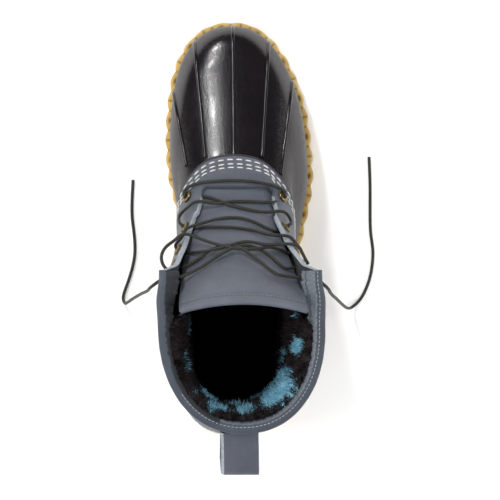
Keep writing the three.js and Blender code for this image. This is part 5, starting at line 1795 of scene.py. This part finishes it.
def add_fleece_locks():
    """Short curved locks of pile over the part of the lining that can be seen."""
    rng = np.random.default_rng(SEED + 1)
    up = SHAFT_HEIGHT - 3.5 - 95 * rng.random(LOCKS) ** 1.4
    start = lining_start(up)
    around = lerp(start, 1 - start, rng.random(LOCKS))
    place = place_at_height(up)
    root = skin(place, around, lining_offset(up) * lining_fullness(around))
    normal = -skin_normal(place, around)
    lean = rng.normal(0, 0.55, (LOCKS, 3)) + np.array([0, 0, -0.15])
    way = unit(normal + lean)
    curl = unit(way + rng.normal(0, 0.7, (LOCKS, 3)))
    length = PILE * rng.uniform(0.6, 1.3, LOCKS)[:, None]
    side = unit(np.cross(way, rng.normal(0, 1, (LOCKS, 3))))
    other = np.cross(way, side)
    thick = 0.42
    rings = []
    for t, width in ((0, 1.0), (0.5, 0.75)):
        centre = root + way * length * t
        for k in range(3):
            angle = 2 * np.pi * k / 3
            rings.append(centre + thick * width * (math.cos(angle) * side + math.sin(angle) * other))
    tip = root + way * length * 0.6 + curl * length * 0.4
    points = np.stack([*rings, tip], 1)
    one = [(0, 1, 4, 3), (1, 2, 5, 4), (2, 0, 3, 5), (3, 4, 6), (4, 5, 6), (5, 3, 6)]
    faces = [[7 * i + k for k in face] for i in range(LOCKS) for face in one]
    piece = make_object("fleece_locks", points.reshape(-1, 3), faces)
    set_roots(piece, np.repeat(root[:, None], 7, 1))
    dress(piece, "insole_felt", FLEECE)


def add_insole():
    around = np.linspace(0, 1, 160, endpoint=False)
    place = sole_place(around, CLEARANCE + INSOLE_THICKNESS)
    edge = skin(place, around, -RUBBER_WALL - CLEARANCE)
    rows = []
    rng = np.random.default_rng(SEED + 2)
    for t in np.linspace(0, 1, 26):
        ring = edge.copy()
        ring[:, 0] = lerp(edge[:, 0], middle_line(section(1.0), -edge[:, 1]), t)
        ring[:, 2] += rng.normal(0, 0.2, len(edge)) * (t > 0)
        rows.append(ring)
    under = edge.copy()
    under[:, 2] -= INSOLE_THICKNESS
    rows.insert(0, under)
    grid = np.array(rows)
    piece = make_grid("insole_fleece", grid, wrap_columns=True)
    set_roots(piece, grid)
    dress(piece, "insole_felt", FLEECE, node="insole")


add_lining()
add_fleece_locks()
add_insole()


# Studio


def add_stage():
    bpy.ops.mesh.primitive_plane_add(size=12)
    floor = bpy.context.object
    floor.name = "studio_floor"
    m = Shader("paper", color=(0.93, 0.93, 0.93), roughness=0.9, Specular_IOR_Level=0.1)
    floor.data.materials.append(m.material)
    world = bpy.data.worlds.new("studio")
    world.use_nodes = True
    world.node_tree.nodes["Background"].inputs["Color"].default_value = (1, 1, 1, 1)
    world.node_tree.nodes["Background"].inputs["Strength"].default_value = 0.09
    bpy.context.scene.world = world
    bpy.context.scene.view_settings.view_transform = "Standard"


def add_light(name, place, aim, size, power, shape=(1.0, 1.0), shines=True):
    data = bpy.data.lights.new(name, "AREA")
    data.shape = "RECTANGLE"
    data.size = size * shape[0]
    data.size_y = size * shape[1]
    data.energy = power
    light = bpy.data.objects.new(name, data)
    light.location = place
    light.visible_glossy = shines
    light.rotation_euler = (Vector(aim) - Vector(place)).to_track_quat("-Z", "Y").to_euler()
    bpy.context.scene.collection.objects.link(light)


add_stage()
add_light("key_front", (0.50, -1.24, 1.03), (0, -0.08, 0.06), 0.12, 8)
add_light("key_near", (0.46, -0.88, 1.2), (0, -0.06, 0.06), 0.12, 6)
add_light("left", (1.5, 0.1, 0.75), (0, 0, 0.05), 0.9, 12)
add_light("right", (-1.5, -0.1, 0.75), (0, 0, 0.05), 0.9, 12)
add_light("top", (0, 0.3, 1.9), (0, 0, 0.05), 1.6, 24, shines=False)
add_light("back", (0.1, 1.2, 1.3), (0, 0.05, 0.08), 1.2, 12, shines=False)
